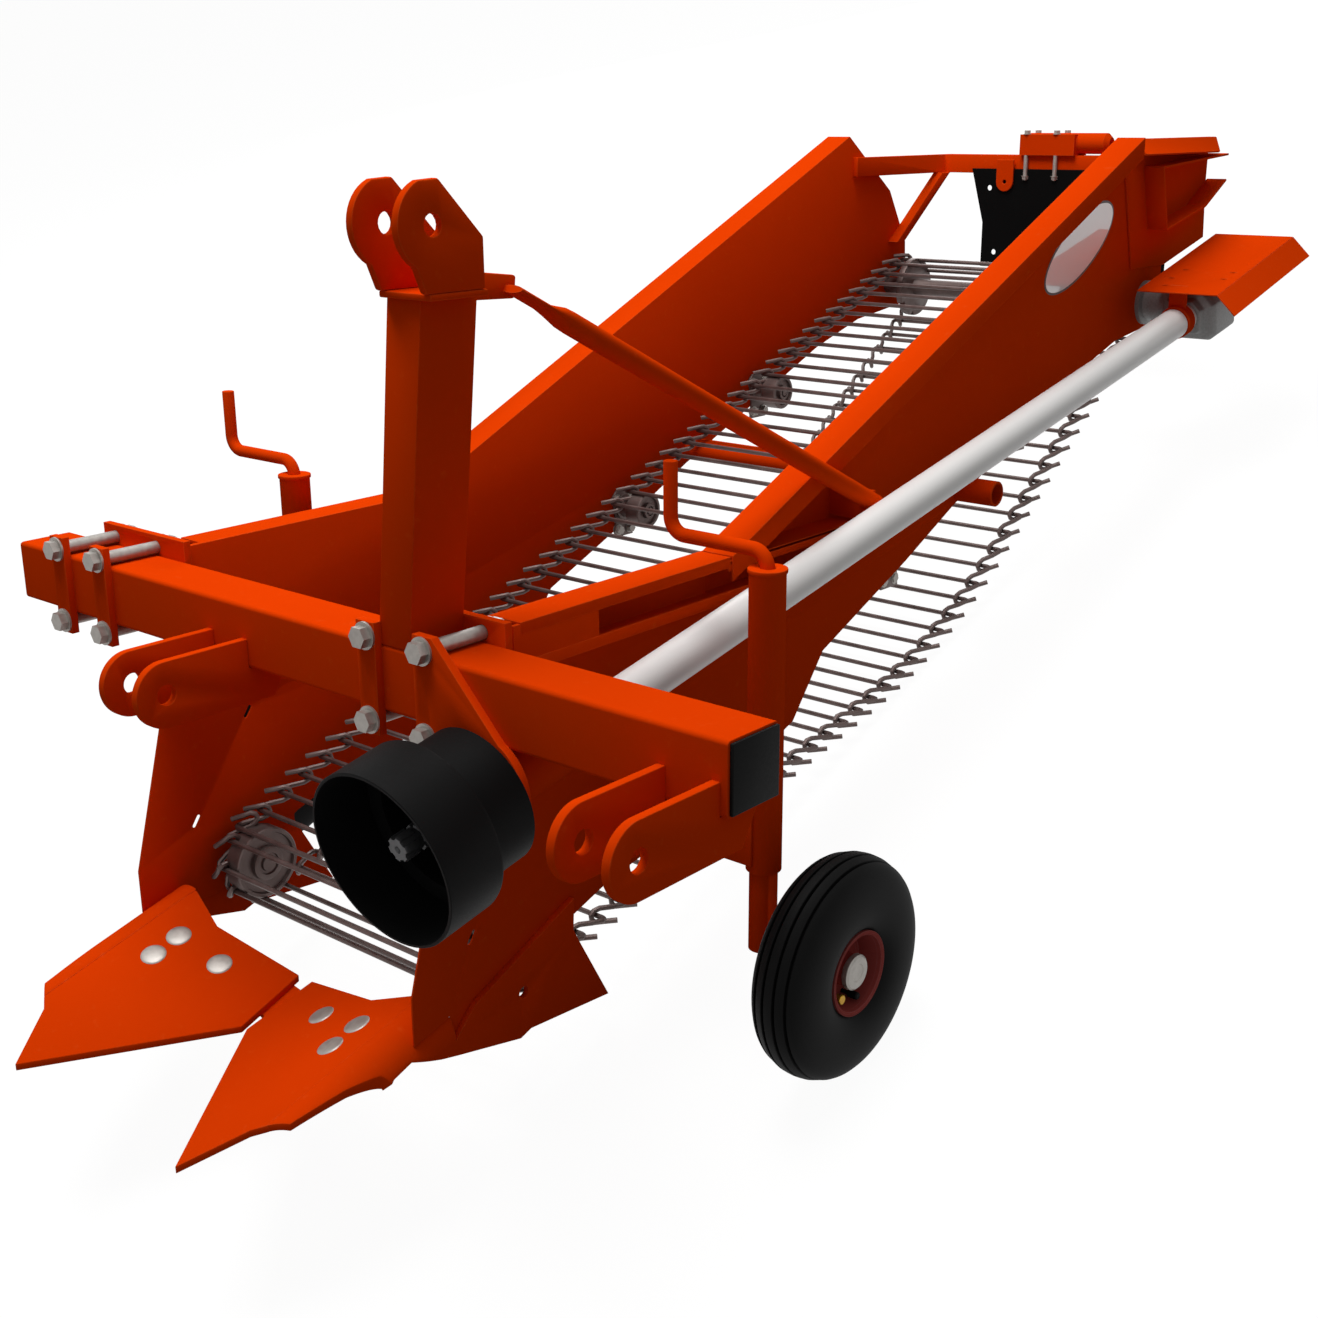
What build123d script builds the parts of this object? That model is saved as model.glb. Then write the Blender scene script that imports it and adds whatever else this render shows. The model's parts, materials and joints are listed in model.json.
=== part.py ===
from build123d import *
import os
from math import asin, atan, atan2, cos, degrees, hypot, pi, radians, sin, sqrt, tan

# Potato plough: a mounted one-row lifter. Two share halves loosen the ridge and an endless
# web of hooked rods carries it up between two side walls.
# Millimetres, +Z up, -Y towards the tractor, +X the machine's left.
# It is drawn as it works, level, with Y (the reach) counted back from the toolbar's front face and
# Z (the height) from the ground. It is written out as it parks, tipped back on its slack web.

# Toolbar
bar = 90.0
bar_length = 1409.0
bar_wall = 10.0
bar_height = 536.0
cap_thick = 5.0

# Ends of the machine
tip_reach = -331.0
tail_reach = 2250.0

# Three-point hitch, category 2
hitch_span = 825.0
hitch_inset = 54.0
hitch_x = bar_length / 2 - hitch_span / 2 - hitch_inset
hitch_gap = 65.0
hitch_plate = 12.0
hitch_bore_r = 14.4
hitch_reach = -133.0
hitch_drop = 4.0
hitch_height = bar_height - hitch_drop
hitch_round = 46.0
hitch_heel = 70.0
mast_height = 610.0
mast_bore_r = 12.9

# Mast
mast_wide = 58.0
mast_wall = 8.0
mast_lean = 62.0
mast_foot_x = hitch_x - mast_lean
mast_head_drop = 76.0
mast_top_height = hitch_height + mast_height - mast_head_drop
mast_cap = 8.0
head_rear = 118.0

# Clamps on the toolbar
clamp_plate = 12.0
clamp_rise = 30.0
bolt_r = 10.0
bolt_gap = 1.0
bolt_head_r = 15.0
bolt_head = 13.0
bolt_tail = 14.0
strap_wide = 34.0
clamp_bolts_out = {"left": (-80.0, 25.0), "right": (169.0, 61.0)}
clamp_back_out = {"left": (-111.5, 66.5), "right": (-11.5, 200.5)}

# Elevator: side walls, arms and flanges
wall_gap = 616.0
wall_thick = 3.0
wall_inset = 298.0
flange_wide = 57.0
flange_lip = 35.0
arm_top = 646.0
arm_deep = 68.0
arm_thick = 6.0
arm_lip = 16.0
kink_reach = 569.0
wall_top_reach = 1836.0
elevator_angle = 24.12

# Web of hooked rods
rod_r = 4.0
rod_clear = 12.0
rod_pitch = 46.5
hook_wide = 7.0
hook_thick = 5.0
hook_slack = 1.0
hook_tip = 28.0
web_seat = 0.05
nose_reach = 150.0
nose_height = 131.0
nose_wrap = 62.0
head_reach = 2005.0
sprocket_teeth = 8
sag_front_angle = 12.0
sag_rear_angle = 36.0
sag_radius = 1200.0
roller_wide = 32.0
roller_inset = 38.0
roller_axle_r = 12.0
guide_roller_r = 34.0

# Shares
share_thick = 10.0
share_rise_out = 0.265
share_rise_back = 0.265
carrier_thick = 8.0
flank_bend = 50.0
flank_deep = 60.0

# Drive line
shaft_out = 119.0
shaft_angle = 11.62
shaft_tube_r = 29.0
shaft_tube_wall = 3.0
housing_r = 45.0
pto_r = 17.45
guard_front_r = 115.5
guard_rear_r = 92.0
guard_wall = 4.0
drive_shaft_r = 17.5

# Depth wheels
leg_reach = 400.0
leg_out = {"left": 242.0, "right": 116.0}
sleeve_r = 25.0
leg_r = 20.0
leg_slide = 0.3
sleeve_bottom = 265.0
sleeve_top = 688.0
sleeve_cap = 6.0
leg_bottom = 144.0
leg_top = 505.0
wheel_r = 158.0
tyre_wide = 90.0
wheel_out = 125.0
rim_r = 60.0
hub_r = 22.0
axle_r = 12.0
axle_fit = 0.05
crank_r = 10.0
crank_throw = 165.0
crank_grip = 100.0
crank_bend = 25.0
crank_slack = 0.2

# Tail
tail_plate = 4.0
rear_bar_deep = 40.0
rear_bar_high = 40.0
rear_bar_height = 1130.0

# Frame lines worked out from the sizes above
bar_top = bar_height + bar
side_of = {"left": 1, "right": -1}
wall_in = wall_gap / 2
wall_out = wall_in + wall_thick
web_x = wall_inset + wall_out - bar_length / 2
wall_face = {side: web_x + sign * wall_out for side, sign in side_of.items()}
shaft_x = wall_face["left"] + shaft_out
slope = tan(radians(elevator_angle))
wall_top_height = arm_top + (wall_top_reach - kink_reach) * slope
shaft_tan = tan(radians(shaft_angle))
head_height = 889.0
shaft_height = head_height - head_reach * shaft_tan


def block(x_pair, reach_pair, height_pair, mode=Mode.ADD):
    """Square block between pairs of limits."""
    size = [pair[1] - pair[0] for pair in (x_pair, reach_pair, height_pair)]
    middle = [sum(pair) / 2 for pair in (x_pair, reach_pair, height_pair)]
    with Locations((middle[0], middle[1], middle[2])):
        Box(*size, mode=mode)


def rod_between(start, end, radius, mode=Mode.ADD):
    """Round bar between two points."""
    run = Vector(*end) - Vector(*start)
    middle = (Vector(*start) + Vector(*end)) / 2
    with Locations(Plane(origin=middle, z_dir=run).location):
        Cylinder(radius, run.length, mode=mode)


pieces = {}


def keep(piece, name):
    pieces[name] = piece.part


# Toolbar: square tube across the front, a plug in each end
with BuildPart() as toolbar:
    with BuildSketch(Plane.YZ.offset(-bar_length / 2)):
        with Locations((bar / 2, bar_height + bar / 2)):
            RectangleRounded(bar, bar, 6)
            Rectangle(bar - 2 * bar_wall, bar - 2 * bar_wall, mode=Mode.SUBTRACT)
    extrude(amount=bar_length)
keep(toolbar, "toolbar")

with BuildPart() as bar_caps:
    for end in (-1, 1):
        with Locations((end * (bar_length + cap_thick) / 2, bar / 2, bar_height + bar / 2)):
            Box(cap_thick, bar - 6, bar - 6)
keep(bar_caps, "bar_caps")

# Lower hitch: a pair of plates a side, hooked under the toolbar's front edge
for side, sign in side_of.items():
    with BuildPart() as hitch:
        for ear in (-1, 1):
            x_middle = hitch_x + sign * hitch_span / 2 + ear * (hitch_gap + hitch_plate) / 2
            low = hitch_height - hitch_round
            with BuildSketch(Plane.YZ.offset(x_middle - hitch_plate / 2)):
                Polygon(*[(0, hitch_height + hitch_round), (0, bar_height), (hitch_heel, bar_height),
                                  (hitch_heel - 30, low), (hitch_reach, low),
                                  (hitch_reach, hitch_height + hitch_round)], align=None)
                with Locations((hitch_reach, hitch_height)):
                    Circle(hitch_round)
                    Circle(hitch_bore_r, mode=Mode.SUBTRACT)
            extrude(amount=hitch_plate)
    keep(hitch, f"hitch_{side}")

# Mast: leaning box column, cap plate and two head plates
with BuildPart() as mast:
    column_top = mast_top_height - mast_cap
    for shrink, mode in ((0, Mode.ADD), (mast_wall, Mode.SUBTRACT)):
        with BuildSketch(Plane.XY.offset(bar_top)) as foot:
            with Locations((mast_foot_x, bar / 2)):
                Rectangle(mast_wide - 2 * shrink, bar - 2 * shrink)
        with BuildSketch(Plane.XY.offset(column_top)) as top:
            with Locations((hitch_x - 12, bar / 2)):
                Rectangle(mast_wide - 2 * shrink, bar - 2 * shrink)
        loft([foot.sketch, top.sketch], mode=mode)
keep(mast, "mast")

head_base = mast_top_height
head_bore = hitch_height + mast_height
with BuildPart() as mast_head:
    head_half = hitch_gap / 2 + hitch_plate
    block((hitch_x - head_half, hitch_x + head_half), (-4, head_rear), (mast_top_height - mast_cap, head_base))
    for ear in (-1, 1):
        x_middle = hitch_x + ear * (hitch_gap + hitch_plate) / 2
        with BuildSketch(Plane.YZ.offset(x_middle - hitch_plate / 2)):
            Polygon(*[(-hitch_round, head_base), (head_rear, head_base), (head_rear, head_base + 50),
                              (50, head_bore + hitch_round), (0, head_bore + hitch_round),
                              (-hitch_round, head_bore)], align=None)
            with Locations((0, head_bore)):
                Circle(hitch_round)
                Circle(mast_bore_r, mode=Mode.SUBTRACT)
        extrude(amount=hitch_plate)
    block((hitch_x - 8, hitch_x + 8), (head_rear, head_rear + 45), (head_base - mast_cap, head_base + 12))
    block((hitch_x - 8, hitch_x + 8), (90, head_rear), (head_base, head_base + 12))
keep(mast_head, "mast_head")

# Clamps: straps in front, plates behind, four bolts each over and under the toolbar
bolt_high = bar_top + bolt_r + bolt_gap
bolt_low = bar_height - bolt_r - bolt_gap
clamp_low = bolt_low - 19
clamp_high = bar_top + clamp_rise
clamp_bolts_x = {side: [wall_face[side] + sign * out for out in clamp_bolts_out[side]]
                 for side, sign in side_of.items()}
clamp_back_x = {side: sorted(wall_face[side] + sign * out for out in clamp_back_out[side])
                for side, sign in side_of.items()}
strap_x, gear_plate_x = clamp_bolts_x["left"]

with BuildPart() as straps:
    for x in (strap_x, *clamp_bolts_x["right"]):
        with BuildSketch(Plane.XZ):
            with Locations((x, (clamp_low + clamp_high) / 2)):
                Rectangle(strap_wide, clamp_high - clamp_low)
            with Locations((x, bolt_high), (x, bolt_low)):
                Circle(bolt_r + 0.5, mode=Mode.SUBTRACT)
        extrude(amount=clamp_plate)
keep(straps, "clamp_straps")

with BuildPart() as bolts:
    for pair in clamp_bolts_x.values():
        for x in pair:
            for z in (bolt_high, bolt_low):
                head_y = (-clamp_plate)
                tail_y = (bar + clamp_plate)
                with BuildSketch(Plane(origin=(x, head_y, z), x_dir=(1, 0, 0), z_dir=(0, -1, 0))):
                    RegularPolygon(bolt_head_r, 6)
                extrude(amount=bolt_head)
                rod_between((x, head_y, z), (x, tail_y + bolt_tail + 8, z), bolt_r)
                with BuildSketch(Plane(origin=(x, tail_y, z), x_dir=(1, 0, 0), z_dir=(0, 1, 0))):
                    RegularPolygon(bolt_head_r, 6)
                extrude(amount=bolt_tail)
keep(bolts, "clamp_bolts")

# Gear plate: the left clamp's front plate, which also carries the drive's input bearing
shaft_turn = radians(shaft_angle)
shaft_plane = Plane(origin=(shaft_x, 0, shaft_height), x_dir=(1, 0, 0),
                    z_dir=(0, cos(shaft_turn), sin(shaft_turn)))
with BuildPart() as gear_plate:
    with BuildSketch(Plane.XZ):
        with BuildLine():
            Polyline((gear_plate_x - strap_wide / 2, clamp_high), (gear_plate_x + strap_wide / 2, clamp_high),
                     (shaft_x + 60, shaft_height + 40), (shaft_x, shaft_height - 75),
                     (gear_plate_x - strap_wide / 2, clamp_low), close=True)
        make_face()
        with Locations((shaft_x, shaft_height)):
            Circle(75)
        with Locations((gear_plate_x, bolt_high), (gear_plate_x, bolt_low)):
            Circle(bolt_r + 0.5, mode=Mode.SUBTRACT)
    extrude(amount=clamp_plate)
    with BuildSketch(shaft_plane.offset(-100)):
        Circle(housing_r)
    extrude(amount=200, mode=Mode.SUBTRACT)
keep(gear_plate, "gear_plate")

# Arms: lipped channels from the rear clamp plates back along the walls
for side, sign in side_of.items():
    x_low, x_high = clamp_back_x[side]
    x_wall = wall_face[side]
    with BuildPart() as arm:
        with BuildSketch(Plane.XZ.offset(-bar)):
            with Locations(((x_low + x_high) / 2, (clamp_low + clamp_high) / 2)):
                Rectangle(x_high - x_low, clamp_high - clamp_low)
            for x in clamp_bolts_x[side]:
                with Locations((x, bolt_high), (x, bolt_low)):
                    Circle(bolt_r + 0.5, mode=Mode.SUBTRACT)
        extrude(amount=-clamp_plate)
        arm_low = arm_top - arm_deep
        with BuildSketch(Plane.XZ.offset(-(bar + clamp_plate))):
            with BuildLine():
                outer = x_wall + sign * (flange_wide - wall_thick)
                thick = sign * arm_thick
                Polyline((x_wall, arm_top), (outer, arm_top), (outer, arm_top - arm_lip),
                         (outer - thick, arm_top - arm_lip), (outer - thick, arm_top - arm_thick),
                         (x_wall + thick, arm_top - arm_thick), (x_wall + thick, arm_low + arm_thick),
                         (outer - thick, arm_low + arm_thick), (outer - thick, arm_low + arm_lip),
                         (outer, arm_low + arm_lip), (outer, arm_low), (x_wall, arm_low), close=True)
            make_face()
        extrude(amount=-(kink_reach - bar - clamp_plate - 6))
        nut_x = sorted((x_wall + sign * arm_thick, x_wall + sign * (flange_wide + 5)))
        nut_reach = bar + clamp_plate + bolt_tail + 14
        block(nut_x, (bar + clamp_plate, nut_reach), (bolt_high - 30, bolt_high + 30), mode=Mode.SUBTRACT)
    keep(arm, f"arm_{side}")

# Shares: two flat halves dished to the middle, bolted to a bent carrier. Each half runs out into a
# cheek, where the sheet bends down over the wall's foot and carries on back as an upright flank.
share_vertical = share_thick * sqrt(1 + share_rise_out ** 2 + share_rise_back ** 2)
tip_out = 188.5
share_base = share_vertical - share_rise_out * tip_out - share_rise_back * tip_reach
share_lean = atan(share_rise_out)
bend_out = wall_out + share_thick - flank_bend
bend_height = share_base + share_rise_out * bend_out - flank_bend / cos(share_lean)
bend_start = bend_out - flank_bend * sin(share_lean)
sheet_front = -270.0
sheet_rear = 28.0
dish_depth = 400.0
share_outline = [(tip_out, tip_reach), (240, -252), (270, -232), (270, 26), (253, 26), (176, 5), (15, 28), (6, -84)]
carrier_outline = [(0, -45), (bend_start - 4, -35), (bend_start - 4, 0), (0, 20)]
cheek_outline = [(230, -258), (284, -223), (297, -143), (309, -95), (wall_out + share_thick + 1, -80),
                 (wall_out + share_thick + 1, sheet_rear), (230, sheet_rear)]
flank_foot = [(-140, 45), (-95, 52), (-79, 66), (-48, 76), (0, 60), (sheet_rear, 53)]
flank_outline = [(sheet_rear, 53), (149, 25), (170, 32), (333, 18), (277, 120), (261, 150), (264, 199), (65, 114)]
flank_hole = (158, 94)
flank_hole_r = 9.0


def bend_rise(reach):
    """Height of the bend's centre line at a reach."""
    return bend_height + share_rise_back * reach


def plan(sign, outline):
    """(distance out, reach) corners as points of the XY plane."""
    return [(web_x + sign * out, reach) for out, reach in outline]


def dish_plane(sign):
    """Top face of one half of the dish."""
    normal = (-sign * share_rise_out, -share_rise_back, 1)
    return Plane(origin=(web_x, 0, share_base), x_dir=(1, 0, sign * share_rise_out), z_dir=normal)


def seam_plane(sign):
    """Butt seam between a share and its cheek, facing out."""
    radial = Vector(-sign * sin(share_lean), 0, cos(share_lean))
    along = Vector(0, 1, share_rise_back)
    return Plane(origin=(web_x + sign * bend_out, 0, bend_height), z_dir=along.cross(radial) * sign)


for side, sign in side_of.items():
    with BuildPart() as share:
        with BuildSketch():
            Polygon(*plan(sign, share_outline), align=None)
        extrude(amount=dish_depth)
        split(bisect_by=dish_plane(sign), keep=Keep.BOTTOM)
        split(bisect_by=dish_plane(sign).offset(-share_thick), keep=Keep.TOP)
        split(bisect_by=seam_plane(sign), keep=Keep.BOTTOM)
    keep(share, f"share_{side}")

    with BuildPart() as cheek:
        with BuildSketch(Plane.XZ.offset(-sheet_front)):
            with BuildLine():
                edge = [[(web_x + sign * (bend_out + radius * cos(turn)),
                          bend_rise(sheet_front) + radius * sin(turn))
                         for turn in (pi / 2 + share_lean, pi / 4 + share_lean / 2, 0)]
                        for radius in (flank_bend, flank_bend - share_thick)]
                low = bend_rise(sheet_front) - flank_deep
                ThreePointArc(*edge[0])
                Polyline(edge[0][2], (edge[0][2][0], low), (edge[1][2][0], low), edge[1][2])
                ThreePointArc(*edge[1])
                Line(edge[1][0], edge[0][0])
            make_face()
        extrude(amount=2 * dish_depth, dir=(0, 1, share_rise_back))
        with BuildSketch(Plane.YZ.offset(web_x - 2 * wall_out)):
            Polygon((sheet_front, dish_depth), (sheet_front, 0), *flank_foot, (sheet_rear, dish_depth), align=None)
        extrude(amount=4 * wall_out, mode=Mode.INTERSECT)
        with BuildSketch():
            Polygon(*plan(sign, cheek_outline), align=None)
        extrude(amount=dish_depth, mode=Mode.INTERSECT)
        with BuildSketch(Plane.YZ.offset(wall_face[side])):
            Polygon(*flank_outline, (sheet_rear, bend_rise(sheet_rear)), align=None)
            with Locations(flank_hole):
                Circle(flank_hole_r, mode=Mode.SUBTRACT)
        extrude(amount=sign * share_thick)
    keep(cheek, f"cheek_{side}")

carrier_halves = []
for sign in (-1, 1):
    with BuildPart() as carrier_half:
        with BuildSketch():
            Polygon(*plan(sign, carrier_outline), align=None)
        extrude(amount=dish_depth)
        split(bisect_by=dish_plane(sign).offset(-share_thick), keep=Keep.BOTTOM)
        split(bisect_by=dish_plane(sign).offset(-share_thick - carrier_thick), keep=Keep.TOP)
    carrier_halves.append(carrier_half.part)
with BuildPart() as carrier:
    add(carrier_halves)
keep(carrier, "share_carrier")

# Side walls: sheet with an outward flange and lip along the sloping top edge
wall_front = -37.0
wall_seat = sqrt(flank_bend ** 2 - (wall_in - bend_out) ** 2) + web_seat
wall_heel = (1280, 590)
wall_slots = [(73, 209), (185, 361)]
slot_long = 22.0
slot_wide = 7.0
wall_outline = [
    (60, clamp_low - 2), (wall_front, 161), (wall_front, bend_rise(wall_front) + wall_seat),
    (sheet_rear + 0.5, bend_rise(sheet_rear) + wall_seat + 0.5), (sheet_rear + 0.5, bend_rise(sheet_rear) + 5),
    (97, 75), (266, 165), (348, 192), (600, 240),
    (802, 314), (883, 415), (1129, 519), wall_heel, (1731, 777), (1887, 823), (2080, 846),
    (2071, 982), (2001, 1096), (wall_top_reach, wall_top_height), (kink_reach, arm_top),
    (bar + clamp_plate + 0.5, arm_top), (bar + clamp_plate + 0.5, clamp_low - 2),
]
cross_r = 17.0
cross_reach = wall_heel[0] + cross_r + 3
cross_height = wall_heel[1] + cross_r + 11
for side, sign in side_of.items():
    inner = web_x + sign * wall_in
    with BuildPart() as wall:
        with BuildSketch(Plane.YZ.offset(inner)):
            Polygon(*wall_outline, align=None)
        extrude(amount=sign * wall_thick)
        top_edge = [(kink_reach, arm_top), (wall_top_reach, wall_top_height)]
        for width, depth, start in ((flange_wide, wall_thick, 0), (wall_thick, flange_lip, flange_wide - wall_thick)):
            drop = depth / cos(radians(elevator_angle))
            strip = top_edge + [(reach, height - drop) for reach, height in reversed(top_edge)]
            with BuildSketch(Plane.YZ.offset(inner + sign * start)):
                Polygon(*strip, align=None)
            extrude(amount=sign * width)
        for reach, height, radius in ((cross_reach, cross_height, cross_r), (head_reach, head_height, drive_shaft_r + 6)):
            if radius == cross_r or sign > 0:
                with BuildSketch(Plane.YZ.offset(inner - sign)):
                    with Locations((reach, height)):
                        Circle(radius)
                extrude(amount=sign * (wall_thick + 2), mode=Mode.SUBTRACT)
        with BuildSketch(Plane.YZ.offset(inner - sign)):
            with Locations(*[Location((reach, height, 0), (0, 0, 55)) for reach, height in wall_slots]):
                SlotOverall(slot_long, slot_wide)
        extrude(amount=sign * (wall_thick + 2), mode=Mode.SUBTRACT)
    keep(wall, f"wall_{side}")

# Rod web: a closed path of lines and arcs round the nose rollers and the drive sprockets
def web_path(head_wrap):
    """Stretches of the loop as (length, function from a run along it to a point)."""
    nose = (nose_reach, nose_height)
    head = (head_reach, head_height)
    span = hypot(head[0] - nose[0], head[1] - nose[1])
    lean = atan2(head[1] - nose[1], head[0] - nose[0])
    top = lean + atan((head_wrap - nose_wrap) / span)
    front = radians(sag_front_angle)
    rear = radians(sag_rear_angle)

    def line(start, end):
        length = hypot(end[0] - start[0], end[1] - start[1])
        return length, lambda run: tuple(a + (b - a) * run / length for a, b in zip(start, end))

    def arc(centre, radius, first, turn):
        sense = 1 if turn > 0 else -1
        return abs(turn) * radius, lambda run: (
            centre[0] + radius * cos(first + sense * run / radius),
            centre[1] + radius * sin(first + sense * run / radius))

    nose_top = (nose[0] - nose_wrap * sin(top), nose[1] + nose_wrap * cos(top))
    head_top = (head[0] - head_wrap * sin(top), head[1] + head_wrap * cos(top))
    head_low = (head[0] + head_wrap * sin(rear), head[1] - head_wrap * cos(rear))
    nose_low = (nose[0] + nose_wrap * sin(front), nose[1] - nose_wrap * cos(front))
    reach = ((nose_low[1] - head_low[1] + tan(rear) * head_low[0] - tan(front) * nose_low[0])
             / (tan(rear) - tan(front)))
    corner = (reach, nose_low[1] + (reach - nose_low[0]) * tan(front))
    cut = sag_radius * tan((rear - front) / 2)
    sag_rear = (corner[0] + cut * cos(rear), corner[1] + cut * sin(rear))
    sag_front = (corner[0] - cut * cos(front), corner[1] - cut * sin(front))
    sag_centre = (sag_front[0] - sag_radius * sin(front), sag_front[1] + sag_radius * cos(front))
    return [
        line(nose_top, head_top),
        arc(head, head_wrap, top + pi / 2, -(pi - rear + top)),
        line(head_low, sag_rear),
        arc(sag_centre, sag_radius, rear - pi / 2, front - rear),
        line(sag_front, nose_low),
        arc(nose, nose_wrap, front - pi / 2, -(pi + top - front)),
    ]


head_wrap = sprocket_teeth * rod_pitch / (2 * pi)
rod_count = 2 * round(sum(length for length, _ in web_path(head_wrap)) / rod_pitch / 2)
for _ in range(8):
    pitch = sum(length for length, _ in web_path(head_wrap)) / rod_count
    head_wrap = sprocket_teeth * pitch / (2 * pi)


def web_point(run):
    for length, point in web_path(head_wrap):
        if run < length:
            return point(run)
        run -= length
    return web_point(run)


rods = [web_point(index * pitch) for index in range(rod_count)]
rod_half = wall_in - rod_clear
web_solids = []
web_tips = []
for index, (reach, height) in enumerate(rods):
    last_reach, last_height = rods[index - 1]
    chord = hypot(last_reach - reach, last_height - height)
    toward = Vector(0, last_reach - reach, last_height - height).normalized()
    outward = toward.cross(Vector(1, 0, 0))
    next_reach, next_height = rods[(index + 1) % rod_count]
    tangent = Vector(0, last_reach - next_reach, last_height - next_height)
    under = -(rod_r + web_seat)
    turn_up = chord + 2 * rod_r
    tip = (turn_up + hook_tip, under - hook_thick + hook_tip)
    tip_back = (tip[0] - 0.7 * hook_thick, tip[1] + 0.7 * hook_thick)
    hook = [(-rod_r, -rod_r / 3), (-rod_r, under - hook_thick), (turn_up, under - hook_thick), tip, tip_back,
            (chord + rod_r + hook_slack, under), (chord - rod_r, under)]
    for step, rise in (tip, tip_back):
        web_tips.append((reach + step * toward.Y + rise * outward.Y, height + step * toward.Z + rise * outward.Z))
    with BuildPart() as rod:
        with BuildSketch(Plane(origin=(web_x - rod_half, reach, height), x_dir=tangent, z_dir=(1, 0, 0))):
            RegularPolygon(rod_r, 6, rotation=30)
        extrude(amount=2 * rod_half)
        shift = (index % 2) * (hook_wide + 2)
        for sign in (-1, 1):
            x_start = web_x + sign * (rod_half - shift)
            with BuildSketch(Plane(origin=(x_start, reach, height), x_dir=toward, z_dir=(sign, 0, 0))):
                Polygon(*[(step, -sign * rise) for step, rise in hook], align=None)
            extrude(amount=-hook_wide)
    web_solids.append(rod.part)
with BuildPart() as rod_web:
    add(web_solids)
keep(rod_web, "rod_web")

# Nose rollers: plain discs on stub axles inside each wall
nose_roller_r = nose_wrap - rod_r - web_seat
with BuildPart() as nose_rollers:
    for sign in (-1, 1):
        x_wall = web_x + sign * wall_in
        x_disc = web_x + sign * (wall_in - roller_inset)
        centre = (nose_reach, nose_height)
        rod_between((x_wall, *centre), (x_disc - sign * roller_wide, *centre), roller_axle_r)
        rod_between((x_disc, *centre), (x_disc - sign * roller_wide, *centre), nose_roller_r)
keep(nose_rollers, "nose_rollers")

# Guide rollers: small discs that carry the upper run halfway
top_run = web_path(head_wrap)[0]
with BuildPart() as guide_rollers:
    for share_of_run in (0.28, 0.5, 0.74):
        reach, height = rods[round(top_run[0] * share_of_run / pitch)]
        lean = atan2(rods[1][1] - rods[0][1], rods[1][0] - rods[0][0])
        below = guide_roller_r + rod_r + web_seat
        centre = (reach + below * sin(lean), height - below * cos(lean))
        for sign in (-1, 1):
            x_wall = web_x + sign * wall_in
            x_disc = web_x + sign * (wall_in - roller_inset)
            rod_between((x_wall, *centre), (x_disc - sign * roller_wide, *centre), roller_axle_r)
            rod_between((x_disc, *centre), (x_disc - sign * roller_wide, *centre), guide_roller_r)
keep(guide_rollers, "guide_rollers")

# Drive roller: shaft with three sprockets whose gaps seat the rods
wrap_start = top_run[0]
first_rod = next(index for index in range(rod_count) if index * pitch >= wrap_start)
first_angle = degrees(atan2(rods[first_rod][1] - head_height, rods[first_rod][0] - head_reach))
sprocket_wide = 14.0
tooth_slack = 1.0
with BuildPart() as drive_roller:
    rod_between((web_x - wall_in, head_reach, head_height),
                (web_x + wall_out, head_reach, head_height), drive_shaft_r)
    for place in (-0.78, 0.0, 0.78):
        x = web_x + place * wall_in
        with BuildSketch(Plane.YZ.offset(x - sprocket_wide / 2)):
            with Locations((head_reach, head_height)):
                Circle(head_wrap + 3)
                with PolarLocations(head_wrap, sprocket_teeth, start_angle=first_angle):
                    Circle(rod_r + tooth_slack, mode=Mode.SUBTRACT)
        extrude(amount=sprocket_wide)
keep(drive_roller, "drive_roller")

# Cross tube: open pipe through both walls under the upper run
with BuildPart() as cross_tube:
    with BuildSketch(Plane.YZ.offset(web_x - wall_out - 12)):
        with Locations((cross_reach, cross_height)):
            Circle(cross_r)
            Circle(cross_r - 3, mode=Mode.SUBTRACT)
    extrude(amount=2 * wall_out + 12 + 76)
keep(cross_tube, "cross_tube")

# Mast brace: round bar from the mast head to a lug on the left wall
brace_r = 12.5
brace_high = (hitch_x + 8 + brace_r, (head_rear + 25), head_base - 6)
brace_low = (wall_face["left"] + 74.5, kink_reach + 341, arm_top + 22)
with BuildPart() as brace:
    rod_between(brace_high, brace_low, brace_r)
keep(brace, "mast_brace")
with BuildPart() as brace_lug:
    block((wall_face["left"], brace_low[0]), (brace_low[1] - 20, brace_low[1]), (brace_low[2] - 23, brace_low[2] + 22))
    rod_between(brace_high, brace_low, brace_r, mode=Mode.SUBTRACT)
keep(brace_lug, "brace_lug")

# Drive input: bearing housing through the gear plate, splined stub, two-step guard cup
with BuildPart() as housing:
    with BuildSketch(shaft_plane.offset(-78)):
        Circle(housing_r)
    extrude(amount=98)
keep(housing, "input_housing")

with BuildPart() as stub:
    with BuildSketch(shaft_plane.offset(-150)):
        Circle(pto_r)
    extrude(amount=72)
keep(stub, "pto_stub")

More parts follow.
